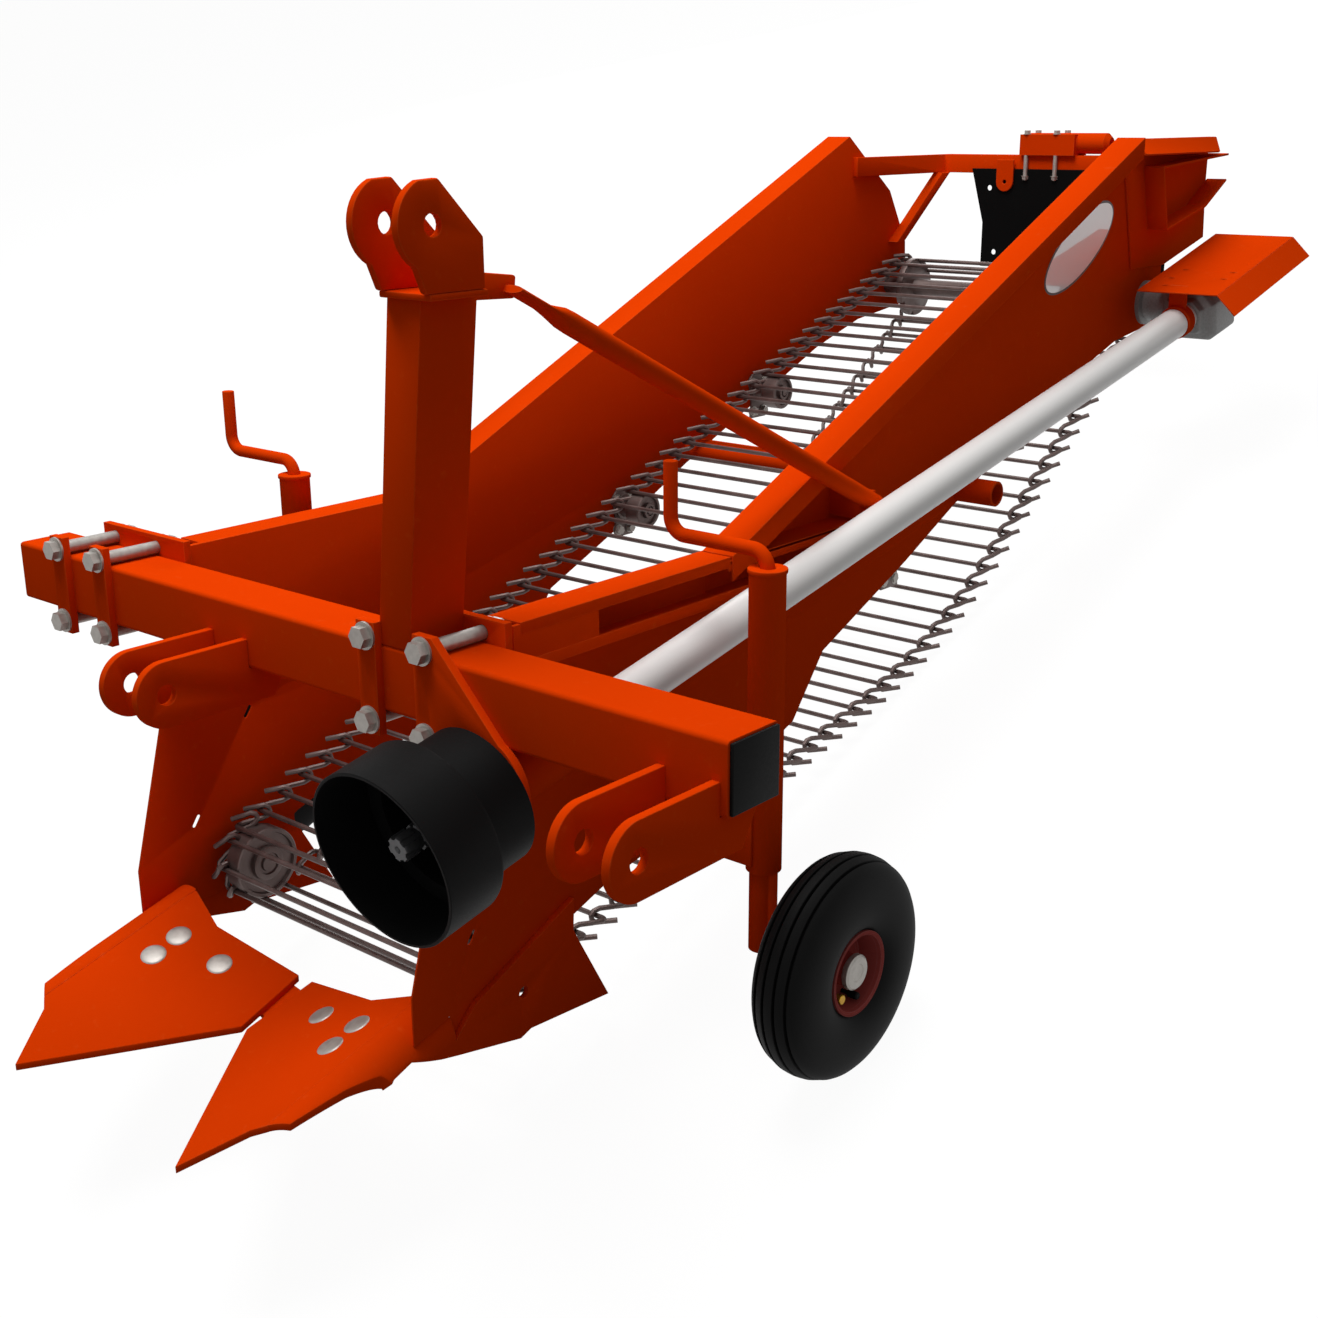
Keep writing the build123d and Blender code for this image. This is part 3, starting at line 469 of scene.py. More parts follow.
def sleeve(run, bore, radius, chamfer=(1, 1)):
    """Outline of a plain tube from its two ends, bore and radius, its outer corners chamfered."""
    along, down = chamfer
    return [(run[0], bore), (run[0], radius - down), (run[0] + along, radius),
            (run[1] - along, radius), (run[1], radius - down), (run[1], bore)]


across_out = Vector((1, 0, 0))
cross_r = 22.5
cross_wall = 4.0
cross_ends = [corner.x / MM for corner in map(Vector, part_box("cross_tube"))]
cross_axis = parked @ Vector((0, 1300, 618))
spun("cross_tube_open", sleeve(cross_ends, cross_r - cross_wall, cross_r), cross_axis, across_out, 48,
     orange_enamel, "frame", "orange_paint", "cross_tube")


# Shares: two dished plates of hardened steel, painted with the rest. Three domed plough bolts hold
# each half to its carrier, their heads rubbed bright by the soil.
for side in ("left", "right"):
    eased(f"share_{side}", orange_enamel, "frame", "orange_paint", edge_round)


def mottled(name, patch_mm, detail, tones, rough, metal=0.0, shine=0.5, pits=0.0):
    """Two tones in patches, with roughness as one value or a span, and pits as a bump strength."""
    material, made, shader, place = start_finish(name)
    patchy = add(made, "ShaderNodeTexNoise", None,
                 {"Vector": place, "Scale": per_metre(patch_mm), "Detail": detail}).outputs["Fac"]
    shade = add(made, "ShaderNodeMix", {"data_type": "RGBA"},
                {"Factor": patchy, 6: colour(tones[0]), 7: colour(tones[1])})
    made.links.new(shade.outputs[2], shader.inputs["Base Color"])
    if isinstance(rough, tuple):
        dull = add(made, "ShaderNodeMapRange", None,
                   {"Value": patchy, "To Min": rough[0], "To Max": rough[1]})
        made.links.new(dull.outputs[0], shader.inputs["Roughness"])
    else:
        shader.inputs["Roughness"].default_value = rough
    shader.inputs["Metallic"].default_value = metal
    shader.inputs["Specular IOR Level"].default_value = shine
    if pits:
        bump = add(made, "ShaderNodeBump", None, {"Strength": pits, "Distance": 0.6 * MM, "Height": patchy})
        made.links.new(bump.outputs[0], shader.inputs["Normal"])
    return material


# plating dulls in patches a few millimetres wide
zinc_plate = mottled("zinc plate", 9, 4.0, ("#8F8A84", "#B9B4AE"), (0.34, 0.55), metal=0.55)


def start_tree(name, sizes):
    """A Geometry Nodes tree with a named input for each size, its input node and its output node."""
    made = bpy.data.node_groups.new(name, "GeometryNodeTree")
    made.interface.new_socket("Geometry", in_out="INPUT", socket_type="NodeSocketGeometry")
    for size, value in sizes.items():
        kind = {int: "NodeSocketInt", float: "NodeSocketFloat"}.get(type(value), "NodeSocketObject")
        made.interface.new_socket(size, in_out="INPUT", socket_type=kind)
    made.interface.new_socket("Geometry", in_out="OUTPUT", socket_type="NodeSocketGeometry")
    return made, made.nodes.new("NodeGroupInput"), made.nodes.new("NodeGroupOutput")


def end_tree(made, closing, instances, finish):
    """Realize the instances and give them their finish."""
    plain = add(made, "GeometryNodeRealizeInstances", None, {0: instances})
    dressed = add(made, "GeometryNodeSetMaterial", None, {0: plain.outputs[0], "Material": finish})
    made.links.new(dressed.outputs[0], closing.inputs[0])


def grown(name, places, vectors, made, sizes, body, slot, *nodes):
    """Points with named vectors, grown by a tree with its sizes set, as plain mesh on a body."""
    piece = piece_from(name, places)
    for label, values in vectors.items():
        field = piece.data.attributes.new(label, "FLOAT_VECTOR", "POINT")
        for index, value in enumerate(values):
            field.data[index].vector = value
    growth = piece.modifiers.new("growth", "NODES")
    growth.node_group = made
    for socket in made.interface.items_tree:
        if socket.in_out == "INPUT" and socket.name in sizes:
            growth[socket.identifier] = sizes[socket.name]
    settle(piece, body, slot, *nodes)
    smooth(piece, 35)


def spread_facing(made, given, closing, shape, finish):
    """Put a shape on each point, its Z along the point's facing, and end the tree with its finish."""
    facing = add(made, "GeometryNodeInputNamedAttribute", {"data_type": "FLOAT_VECTOR"}, {"Name": "facing"})
    turn = add(made, "FunctionNodeAlignRotationToVector", {"axis": "Z"}, {"Vector": facing.outputs[0]})
    spread = add(made, "GeometryNodeInstanceOnPoints", None,
                 {"Points": given.outputs[0], "Instance": shape.outputs[0], "Rotation": turn.outputs[0]})
    end_tree(made, closing, spread.outputs[0], finish)


share_rise = 0.265
share_base = 48.5
share_marks = [(204, -45), (203, -91), (117, -37)]
plough_bolt = {"Head Radius": 19.0 * MM, "Dome": 2.8 * MM}
made, given, closing = start_tree("domed plough bolts", plough_bolt)
ball = add(made, "GeometryNodeMeshUVSphere", None,
           {"Segments": 24, "Rings": 12, "Radius": given.outputs["Head Radius"]})
flat = add(made, "ShaderNodeMath", {"operation": "DIVIDE"},
           {0: given.outputs["Dome"], 1: given.outputs["Head Radius"]})
squash = add(made, "ShaderNodeCombineXYZ", None, {"X": 1.0, "Y": 1.0, "Z": flat.outputs[0]})
dome = add(made, "GeometryNodeTransform", None, {"Geometry": ball.outputs[0], "Scale": squash.outputs[0]})
spread_facing(made, given, closing, dome, zinc_plate)
places = []
facings = []
for sign in (-1, 1):
    for out, reach in share_marks:
        places.append(parked @ Vector((web_x + sign * out, reach, share_base + share_rise * (out + reach))))
        facings.append(level @ Vector((-sign * share_rise, -share_rise, 1)).normalized())
grown("share_bolts", places, {"facing": facings}, made, plough_bolt, "frame", "zinc_steel")


# Clamp bolts: zinc-plated M20, four to each clamp, over and under the toolbar. Each has a forged
# hexagon head on a washer in front, and a washer and nut behind.
clamp_bolt = {"Head Radius": 15.0 * MM, "Head Height": 12.0 * MM, "Washer Radius": 18.5 * MM,
              "Washer": 3.0 * MM, "Shank Radius": 10.0 * MM, "Grip": 114.0 * MM, "Nut": 15.0 * MM}
bolt_tree, given, closing = start_tree("clamp bolts", clamp_bolt)


def sum_of(tree, first, factor, second):
    """A first value times a factor, plus a second."""
    return add(tree, "ShaderNodeMath", {"operation": "MULTIPLY_ADD"},
               {0: first, 1: factor, 2: second}).outputs[0]


def along_bolt(tree, sides, radius, length, start, way):
    """One round or six-sided length of a bolt, from a start on its axis ahead (1) or back (-1)."""
    body = add(tree, "GeometryNodeMeshCylinder", None, {"Vertices": sides, "Radius": radius, "Depth": length})
    lift = add(tree, "ShaderNodeCombineXYZ", None, {"Z": sum_of(tree, length, way * 0.5, start)})
    return add(tree, "GeometryNodeTransform", None,
               {"Geometry": body.outputs[0], "Translation": lift.outputs[0]})


size = given.outputs
behind = sum_of(bolt_tree, size["Grip"], -1.0, 0.0)
nut_face = sum_of(bolt_tree, size["Washer"], -1.0, behind)
tail = sum_of(bolt_tree, size["Nut"], 1.6, size["Grip"])
lengths = [along_bolt(bolt_tree, 28, size["Washer Radius"], size["Washer"], 0.0, 1),
           along_bolt(bolt_tree, 6, size["Head Radius"], size["Head Height"], size["Washer"], 1),
           along_bolt(bolt_tree, 20, size["Shank Radius"], tail, 0.0, -1),
           along_bolt(bolt_tree, 28, size["Washer Radius"], size["Washer"], behind, -1),
           along_bolt(bolt_tree, 6, size["Head Radius"], size["Nut"], nut_face, -1)]
whole = add(bolt_tree, "GeometryNodeJoinGeometry")
for length in lengths:
    bolt_tree.links.new(length.outputs[0], whole.inputs[0])
spread_facing(bolt_tree, given, closing, whole, zinc_plate)
clamp_plate = 12.0
places = [parked @ Vector((across, -clamp_plate, height))
          for across in (135.5, 240.5, -575.5, -467.5) for height in (637.0, 525.0)]
grown("clamp_bolts_plated", places, {"facing": [level @ Vector((0, -1, 0))] * len(places)},
      bolt_tree, clamp_bolt, "frame", "zinc_steel", "clamp_bolts")


# Black mouldings: plugs of matt polyethylene with a fine grain, pushed into the toolbar's open ends.
# The drive guard further down is moulded of the same.
material, made, shader, place = start_finish("black polyethylene")
grain = add(made, "ShaderNodeTexNoise", None, {"Vector": place, "Scale": per_metre(2.2), "Detail": 2.0})
cloudy = add(made, "ShaderNodeTexNoise", None, {"Vector": place, "Scale": per_metre(70), "Detail": 3.0})
shade = add(made, "ShaderNodeMix", {"data_type": "RGBA"},
            {"Factor": cloudy.outputs["Fac"], 6: colour("#070707"), 7: colour("#0F0F0F")})
made.links.new(shade.outputs[2], shader.inputs["Base Color"])
dull = add(made, "ShaderNodeMapRange", None,
           {"Value": grain.outputs["Fac"], "To Min": 0.50, "To Max": 0.68})
made.links.new(dull.outputs[0], shader.inputs["Roughness"])
shader.inputs["Specular IOR Level"].default_value = 0.06
bump = add(made, "ShaderNodeBump", None,
           {"Strength": 0.18, "Distance": 0.3 * MM, "Height": grain.outputs["Fac"]})
made.links.new(bump.outputs[0], shader.inputs["Normal"])
black_moulding = material
plug_round = 1.5
eased("bar_caps", black_moulding, "frame", "black_plastic", plug_round)


# Rod web: 96 bars of bare rolled steel, each bent at both ends into a leg that passes under the next
# bar, curls up behind it and ends in a tip laid back over it. Soil keeps them brown, dull and smoother
# in patches.
browned_steel = mottled("browned rolled steel", 28, 5.0, ("#4A3D3A", "#7C6C68"), (0.36, 0.60), metal=0.6)


def bent_bar(name, points, radius):
    """A round bar along a line of points."""
    curve = bpy.data.curves.new(name, "CURVE")
    curve.dimensions = "3D"
    curve.bevel_depth = radius
    curve.bevel_resolution = 2
    curve.use_fill_caps = True
    run = curve.splines.new("POLY")
    run.points.add(len(points) - 1)
    for point, place in zip(run.points, points):
        point.co = (*place, 1.0)
    holder = bpy.data.objects.new(name, curve)
    bpy.context.scene.collection.objects.link(holder)
    graph = bpy.context.evaluated_depsgraph_get()
    piece = bpy.data.objects.new(name, bpy.data.meshes.new_from_object(holder.evaluated_get(graph)))
    bpy.context.scene.collection.objects.link(piece)
    bpy.data.objects.remove(holder)
    return piece


def sections(node, across):
    """Middles of the closed outlines where an upright plane cuts a node, at a distance across in metres."""
    shape = merged(node)
    bmesh.ops.bisect_plane(shape, geom=shape.verts[:] + shape.edges[:] + shape.faces[:], dist=1e-6,
                           plane_co=(across, 0, 0), plane_no=(1, 0, 0), clear_inner=True, clear_outer=True)
    middles = []
    waiting = set(shape.verts)
    while waiting:
        found = [waiting.pop()]
        for vert in found:
            for edge in vert.link_edges:
                other = edge.other_vert(vert)
                if other in waiting:
                    waiting.remove(other)
                    found.append(other)
        middles.append(sum((vert.co for vert in found), Vector()) / len(found))
    shape.free()
    return middles


rod_r = 4.2
rod_half = 284.0
rod_pitch = 46.4
half_bar = [(rod_half - 7, 0, 0), (rod_half - 2, 1.5, -0.3), (rod_half, 7, -1.5), (rod_half - 6, 22, -5),
            (rod_half - 17, rod_pitch - 8, -8.7), (rod_half - 20, rod_pitch + 2, -8.9),
            (rod_half - 21, rod_pitch + 8.4, -4.5), (rod_half - 20, rod_pitch + 9.6, 2),
            (rod_half - 16, rod_pitch + 6, 8), (rod_half - 9, rod_pitch - 3, 9.6),
            (rod_half + 7, rod_pitch - 17, 10.5)]
bar_line = [(-out, along, up) for out, along, up in reversed(half_bar)] + half_bar
bar_pattern = bent_bar("bar_pattern", [Vector(p) * MM for p in bar_line], rod_r * MM)
rods = sections("rod_web", web_x * MM)
loop_middle = sum(rods, Vector()) / len(rods)
rods.sort(key=lambda rod: math.atan2(rod.z - loop_middle.z, rod.y - loop_middle.y))
toward = [(rods[index - 1] - rod).normalized() for index, rod in enumerate(rods)]
web_sizes = {"Bar": bar_pattern}
made, given, closing = start_tree("rod web", web_sizes)
bar_shape = add(made, "GeometryNodeObjectInfo", None, {"Object": given.outputs["Bar"]})
before = add(made, "GeometryNodeInputNamedAttribute", {"data_type": "FLOAT_VECTOR"}, {"Name": "toward"})
turn = add(made, "FunctionNodeAxesToRotation", {"primary_axis": "Y", "secondary_axis": "X"},
           {0: before.outputs[0], 1: (1.0, 0.0, 0.0)})
spread = add(made, "GeometryNodeInstanceOnPoints", None,
             {"Points": given.outputs[0], "Instance": bar_shape.outputs["Geometry"],
              "Rotation": turn.outputs[0]})
end_tree(made, closing, spread.outputs[0], browned_steel)
grown("rod_web_bars", rods, {"toward": toward}, made, web_sizes, "frame", "bare_steel", "rod_web")
bpy.data.objects.remove(bar_pattern)


# Rollers: turned steel discs on stub axles inside the walls, each with a dished face and a boss, and
# a bearing block bolted to the wall. The drive shaft's sprockets seat the bars at the top.
wall_in = 308.0
roller_inset = 38.0
roller_wide = 32.0
inner = roller_inset + roller_wide
for node, roller_r in (("nose_rollers", 57.9), ("guide_rollers", 33.9)):
    parts = []
    rim = roller_r - 7
    outline = [(0, 0), (0, 24), (9, 24), (11, 20), (roller_inset - 4, 18), (roller_inset - 2, roller_r - 2.5),
               (roller_inset + 1, roller_r), (inner - 2, roller_r), (inner, roller_r - 2), (inner, rim),
               (inner - 5, rim - 1.5), (inner - 5, rim * 0.56), (inner + 2, rim * 0.54),
               (inner + 3, rim * 0.50), (inner + 3, rim * 0.36), (inner, rim * 0.34), (inner, rim * 0.26),
               (inner + 4, rim * 0.24), (inner + 4, 0)]
    for sign in (-1, 1):
        for middle in sections(node, (web_x + sign * (wall_in - roller_inset - roller_wide / 2)) * MM):
            start = Vector(((web_x + sign * wall_in) * MM, middle.y, middle.z))
            parts.append(turned("roller", outline, start, -sign * across_out, 48))
    joined(node + "_turned", parts, browned_steel, "frame", "bare_steel", node)

bracket_half = 31.0
bracket_up = 34.0
bracket_down = 58.0
bracket_waist = -24.0
bracket_corner = 12.0
bracket_thick = 5.0
bracket_gap = 0.7
bracket_marks = [(-16, -44), (16, -44), (-20, 16), (20, 16)]
edge = [(bracket_half, bracket_up - bracket_corner), (bracket_half * 0.72, bracket_waist),
        (bracket_half * 0.84, -bracket_down)]
edge = ([(-bracket_half, bracket_up - bracket_corner), (-bracket_half + bracket_corner, bracket_up),
         (bracket_half - bracket_corner, bracket_up)] + edge
        + [(-along, up) for along, up in reversed(edge[1:])])
brackets = []
places = []
for sign in (-1, 1):
    for middle in sections("guide_rollers", (web_x + sign * (wall_in - roller_inset - roller_wide / 2)) * MM):
        roller_at = parked.inverted() @ middle
        plate_x = web_x + sign * (wall_in - bracket_gap - bracket_thick / 2)
        face_x = web_x + sign * (wall_in - bracket_gap - bracket_thick)
        brackets.append(cut_sheet("bracket", edge, [], lambda along, up: Vector(
            (plate_x, roller_at.y + along, roller_at.z + up)), bracket_thick))
        places += [parked @ Vector((face_x, roller_at.y + along, roller_at.z + up))
                   for along, up in bracket_marks]
joined("guide_brackets", brackets, browned_steel, "frame", "bare_steel")
bracket_bolt = {"Head Radius": 8.5 * MM, "Head Height": 6.5 * MM, "Washer Radius": 10.5 * MM,
                "Washer": 1.5 * MM, "Shank Radius": 4.0 * MM, "Grip": 4.0 * MM, "Nut": 2.0 * MM}
inward = [across_out if place.x < web_x * MM else -across_out for place in places]
grown("bracket_bolts", places, {"facing": inward}, bolt_tree, bracket_bolt, "frame", "zinc_steel")
tooth_round = 0.6
eased("drive_roller", browned_steel, "frame", "bare_steel", tooth_round)


# Drive input: a six-splined stub of ground steel with a centre drilling, in a cast bearing housing on the
# gear plate. Round it is a moulded guard, a deep cup on a narrower sleeve, so its inside is nearly black.
# A painted bearing tube carries the shaft on under the toolbar.
shaft_across = 334.5
shaft_angle = math.radians(11.62)
drive_end = Vector((shaft_across, 2005.0, 889.0))
shaft_way = Vector((0, math.cos(shaft_angle), math.sin(shaft_angle)))
shaft_axis = level @ shaft_way


def on_shaft(run):
    """Place on the drive shaft's line, counted back from the toolbar's front face."""
    return parked @ (drive_end + shaft_way * (run - drive_end.y / math.cos(shaft_angle)))


guard_front = -178.0
guard_step = -90.0
guard_back = -14.0
cup_r = 115.5
sleeve_r = 92.0
guard_wall = 4.0
housing_r = 45.0
guard_outline = [(guard_front, cup_r - guard_wall), (guard_front, cup_r - 1), (guard_front + 1, cup_r),
                 (guard_step - 6, cup_r), (guard_step - 2, cup_r - 1.5), (guard_step, cup_r - 5),
                 (guard_step, sleeve_r), (guard_back - 1, sleeve_r), (guard_back, sleeve_r - 1),
                 (guard_back, housing_r), (guard_back - guard_wall, housing_r),
                 (guard_back - guard_wall, sleeve_r - guard_wall),
                 (guard_step - guard_wall, sleeve_r - guard_wall),
                 (guard_step - guard_wall, cup_r - guard_wall)]
spun("pto_guard_stepped", guard_outline, on_shaft(0), shaft_axis, 96,
     black_moulding, "frame", "black_plastic", "pto_guard")
shaft_r = 20.0
bearing_r = 40.0
bearing_run = (19.0, 122.0)
spun("bearing_tube", sleeve(bearing_run, shaft_r, bearing_r, (2, 2)), on_shaft(0), shaft_axis, 64,
     orange_enamel, "frame", "orange_paint")

ground_steel = mottled("ground steel", 6, 3.0, ("#3C3C3D", "#5A5A5B"), 0.45, metal=0.5)
stub_front = -150.0
stub_back = -78.0
spline_high = 17.4
spline_low = 14.6
drill_r = 5.0
drill_deep = 9.0
spline_ring = []
for tooth in range(6):
    for share, radius in ((0.06, spline_low), (0.44, spline_low), (0.52, spline_high), (0.98, spline_high)):
        angle = (tooth + share) * math.pi / 3
        spline_ring.append((radius * math.cos(angle), radius * math.sin(angle)))
to_shaft = Matrix.Translation(on_shaft(0)) @ shaft_axis.to_track_quat("Z", "Y").to_matrix().to_4x4()
# place along the shaft and size of its section; where that is under 0.9 the section is round
stub_rows = [(stub_front + drill_deep, 0.02 / spline_high), (stub_front, drill_r / spline_high),
             (stub_front, 0.92), (stub_front + 3, 1.0), (stub_front + 22, 1.0), (stub_front + 23, 0.84),
             (stub_front + 29, 0.84), (stub_front + 30, 1.0), (stub_back, 1.0)]
rings = []
for run, grow in stub_rows:
    ring = []
    for x, y in spline_ring:
        scale = grow if grow > 0.9 else grow * spline_high / math.hypot(x, y)
        ring.append(to_shaft @ (Vector((x * scale, y * scale, run)) * MM))
    rings.append(ring)
stub = lofted("pto_stub_splined", rings, False)
settle(stub, "frame", "bare_steel", "pto_stub")
dress(stub, ground_steel)
smooth(stub, 25)


# Drive line: a white enamelled guard tube runs up to the bevel gearbox. A painted strap collar and a
# pale seal ring close the tube's end, and a turned bearing cap stands between gearbox and wall.
white_enamel = enamel("white enamel", "#F3F1EF", "#EAE8E5", "#FAFAF8", 0.35, 0.6)
tube_r = 29.0
tube_bore = 26.0
tube_front = 100.0
gear_front = drive_end.y / math.cos(shaft_angle) - 60.0
tube_back = gear_front - 61
tube_outline = [(tube_front, tube_bore), (tube_front, tube_r - 1), (tube_front + 1, tube_r),
                (tube_back - 1, tube_r), (tube_back, tube_r - 1), (tube_back, shaft_r),
                (gear_front, shaft_r), (gear_front, shaft_r - 1), (tube_front + 40, shaft_r - 1),
                (tube_front + 40, tube_bore)]
spun("shaft_tube_white", tube_outline, on_shaft(0), shaft_axis, 64,
     white_enamel, "frame", "white_paint", "shaft_tube")
collar_run = (gear_front - 58, gear_front - 33)
spun("tube_collar", sleeve(collar_run, shaft_r, tube_r + 3, (1, 1.5)), on_shaft(0), shaft_axis, 64,
     orange_enamel, "frame", "orange_paint")
seal_run = (gear_front - 29, gear_front - 20)
spun("tube_seal", sleeve(seal_run, shaft_r, tube_r), on_shaft(0), shaft_axis, 64,
     white_enamel, "frame", "white_paint")

cast_iron = mottled("sand-cast iron", 4, 3.0, ("#737372", "#959594"), 0.55, metal=0.3, pits=0.35)
cast_round = 3.0
eased("input_housing", cast_iron, "frame", "grey_casting", cast_round)

# the casting's corners are cut back and its outer face tapers, as seen along the shaft
case_half = 56.0
case_high = 52.0
case_ring = [(-case_half, -case_high), (case_half - 26, -case_high), (case_half, -case_high + 30),
             (case_half, case_high - 12), (case_half - 14, case_high), (-case_half, case_high)]
case_rows = [(gear_front - 20, 0.62), (gear_front - 4, 0.66), (gear_front, 0.90), (gear_front + 10, 1.0),
             (gear_front + 96, 1.0), (gear_front + 124, 0.72)]
case_up = level @ Vector((0, -shaft_way.z, shaft_way.y))
rings = [[on_shaft(run) + across_out * (x * grow * MM) - case_up * (y * grow * MM) for x, y in case_ring]
         for run, grow in case_rows]
case = lofted("case", rings, True)
shape = bmesh.new()
shape.from_mesh(case.data)
bmesh.ops.bevel(shape, geom=shape.edges[:], offset=cast_round * MM, segments=2, affect="EDGES", profile=0.5)
shape.to_mesh(case.data)
shape.free()
cap_outline = [(0, 0), (0, 44), (8, 44), (10, 41), (12, 35), (26, 34), (28, 38), (62, 38), (64, 34),
               (76, 33), (76, 0)]
cap_at = parked @ Vector((web_x + wall_out, drive_end.y, drive_end.z))
cap = turned("cap", cap_outline, cap_at, across_out, 56)
joined("gearbox_cast", [case, cap], cast_iron, "frame", "grey_casting", "gearbox")


# Gear guard: one folded sheet over the gearbox, sloped as the shaft is, with bolt slots in its top and
# its outer edge turned down. A strap on the tube's collar and a plate on the casting carry it.
guard_thick = 3.0
guard_from = 1857.0
guard_height = 926.0
guard_slope = math.radians(14.0)
guard_long = 368.0
guard_in = 362.0
guard_out = 525.0
lip_out = 37.0
lip_drop = 36.0
strap_thick = 5.0
strap_reach = 1897.0
carrier_reach = 2008.0


def on_guard(out, run):
    """Place on the guard's top, out from the web's middle and back along its slope."""
    return Vector((web_x + out, guard_from + run * math.cos(guard_slope),
                   guard_height + run * math.sin(guard_slope)))


slots = [round_hole(out, run, 7.0, 2.6)
         for out, run in ((396, 82), (402, 38), (402, 134), (500, 132), (498, 92))]
top = cut_sheet("top", oblong((guard_in, guard_out), (0, guard_long)), slots, on_guard, guard_thick)
lip_fall = Vector((0, 0, lip_drop / lip_out))
lip = cut_sheet("lip", oblong((0, lip_out), (0, guard_long)), [],
                lambda out, run: on_guard(guard_out + out, run) - lip_fall * out, guard_thick)
strap = cut_sheet("strap", oblong((412, 448), (884, 938)), [],
                  lambda out, height: Vector((web_x + out, strap_reach, height)), strap_thick)
carrier = cut_sheet("carrier", oblong((380, 480), (936, 962)), [],
                    lambda out, height: Vector((web_x + out, carrier_reach, height)), strap_thick)
joined("gear_guard_folded", [top, lip, strap, carrier], orange_enamel, "frame", "orange_paint", "gear_guard")


# Wheels: ribbed black tyres with four tread grooves, on dished red rims. A bright cap closes each
# hub, and the valve has a brass stem and a black cap.
def plain(name, code, values):
    """A finish of one tone with the shader's other values."""
    material, made, shader, place = start_finish(name)
    shader.inputs["Base Color"].default_value = colour(code)
    for socket, value in values.items():
        shader.inputs[socket].default_value = value
    return material


tyre_rubber = mottled("tyre rubber", 40, 4.0, ("#050505", "#0C0C0C"), 0.62, shine=0.07)
red_enamel = enamel("dull red enamel", "#B2524D", "#A0443F", "#C88884", 0.40)
brass = plain("brass", "#B48A28", {"Metallic": 0.8, "Roughness": 0.4})

wheel_r = 158.0
rim_r = 60.0
tread_half = 31.0
groove_wide = 4.0
groove_deep = 6.0
grooves = (-24.0, -8.5, 8.5, 24.0)
crown_bend = 0.0098


def crown(across):
    """Tyre radius over its width, across from its middle."""
    return wheel_r - crown_bend * across ** 2


flank = [(30, rim_r - 5.5), (36, rim_r + 3), (39, 67), (42.5, 76), (44.6, 88), (45, 100), (44.4, 112),
         (42.6, 124), (39.5, 135), (35.5, 143.5), (tread_half, crown(tread_half))]
tyre_outline = [(-across, radius) for across, radius in flank]
for groove in grooves:
    near = groove - groove_wide / 2
    far = groove + groove_wide / 2
    tyre_outline += [(near - 0.8, crown(near)), (near, crown(near) - 0.8),
                     (near + 0.6, crown(near) - groove_deep), (far - 0.6, crown(far) - groove_deep),
                     (far, crown(far) - 0.8), (far + 0.8, crown(far))]
    if groove == grooves[1]:
        tyre_outline.append((0, wheel_r))
tyre_outline += reversed(flank)
rim_outline = [(-38, 12.1), (-38, 22), (-6, 22), (-4, 46), (-36, 51), (-38, 53), (-38, rim_r), (-34, rim_r),
               (-31, rim_r - 6.5), (31, rim_r - 6.5), (34, rim_r), (38, rim_r), (38.5, 57), (37, 54), (4, 48),
               (2, 44), (6, 24), (24, 22), (24, 12.1)]
cap_outline = [(25, 0), (25, 24.5), (27, 25.5), (33, 25), (35.5, 22), (36, 13), (34.8, 11.5), (34.8, 0)]
stem_outline = [(0, 0), (0, 5), (18, 5), (18, 7), (26, 7), (27, 6), (27, 0)]
plug_outline = [(0, 0), (0, 3), (15, 3), (15, 5.5), (28, 5.5), (30, 4), (30, 0)]
stem_off = level @ Vector((0, -0.55, -0.84)).normalized() * 41 * MM
plug_off = level @ Vector((0, 0.25, -0.97)).normalized() * 43 * MM
for side, sign in (("left", 1), ("right", -1)):
    axle = axle_place[side]
    body = f"wheel_{side}"
    out = sign * across_out
    spun(f"tyre_{side}_ribbed", tyre_outline, axle, out, 96, tyre_rubber, body, "tyre", f"tyre_{side}")
    spun(f"rim_{side}_dished", rim_outline, axle, out, 72, red_enamel, body, "red_rim", f"rim_{side}")
    spun(f"hub_cap_{side}", cap_outline, axle, out, 40, zinc_plate, body, "zinc_steel")
    spun(f"valve_{side}", stem_outline, axle + stem_off, out, 16, brass, body, "zinc_steel")
    spun(f"valve_cap_{side}", plug_outline, axle + plug_off, out, 16, tyre_rubber, body, "black_plastic")


# Tail: a rubber curtain hangs from the rear bar behind a strap lug, with punched holes down its edges.
# A round carrier tube lies on the bar in a saddle, held by four plated bolts.
rubber_sheet = mottled("black rubber sheet", 60, 3.0, ("#050505", "#0A0A0A"), 0.7, shine=0.05)
curtain_reach = 2207.5
curtain_thick = 5.0
curtain_edge = [(-317, 1140), (-284, 1022), (-284, 924), (162, 924), (162, 1022), (195, 1140)]
curtain_holes = [round_hole(x, height, 6, 6)
                 for x, height in ((-270, 1098), (-252, 957), (148, 1098), (130, 957))]
curtain = cut_sheet("curtain_sheet", curtain_edge, curtain_holes,
                    lambda x, height: Vector((x, curtain_reach, height)), curtain_thick)
settle(curtain, "frame", "black_rubber", "curtain")
dress(curtain, rubber_sheet)
lug_half = 21.0
lug_low = 1112.0
lug_high = 1160.0
lug_thick = 5.0
lug_reach = curtain_reach - 5.2
foot_angles = [math.pi * (1 + step / 12) for step in range(13)]
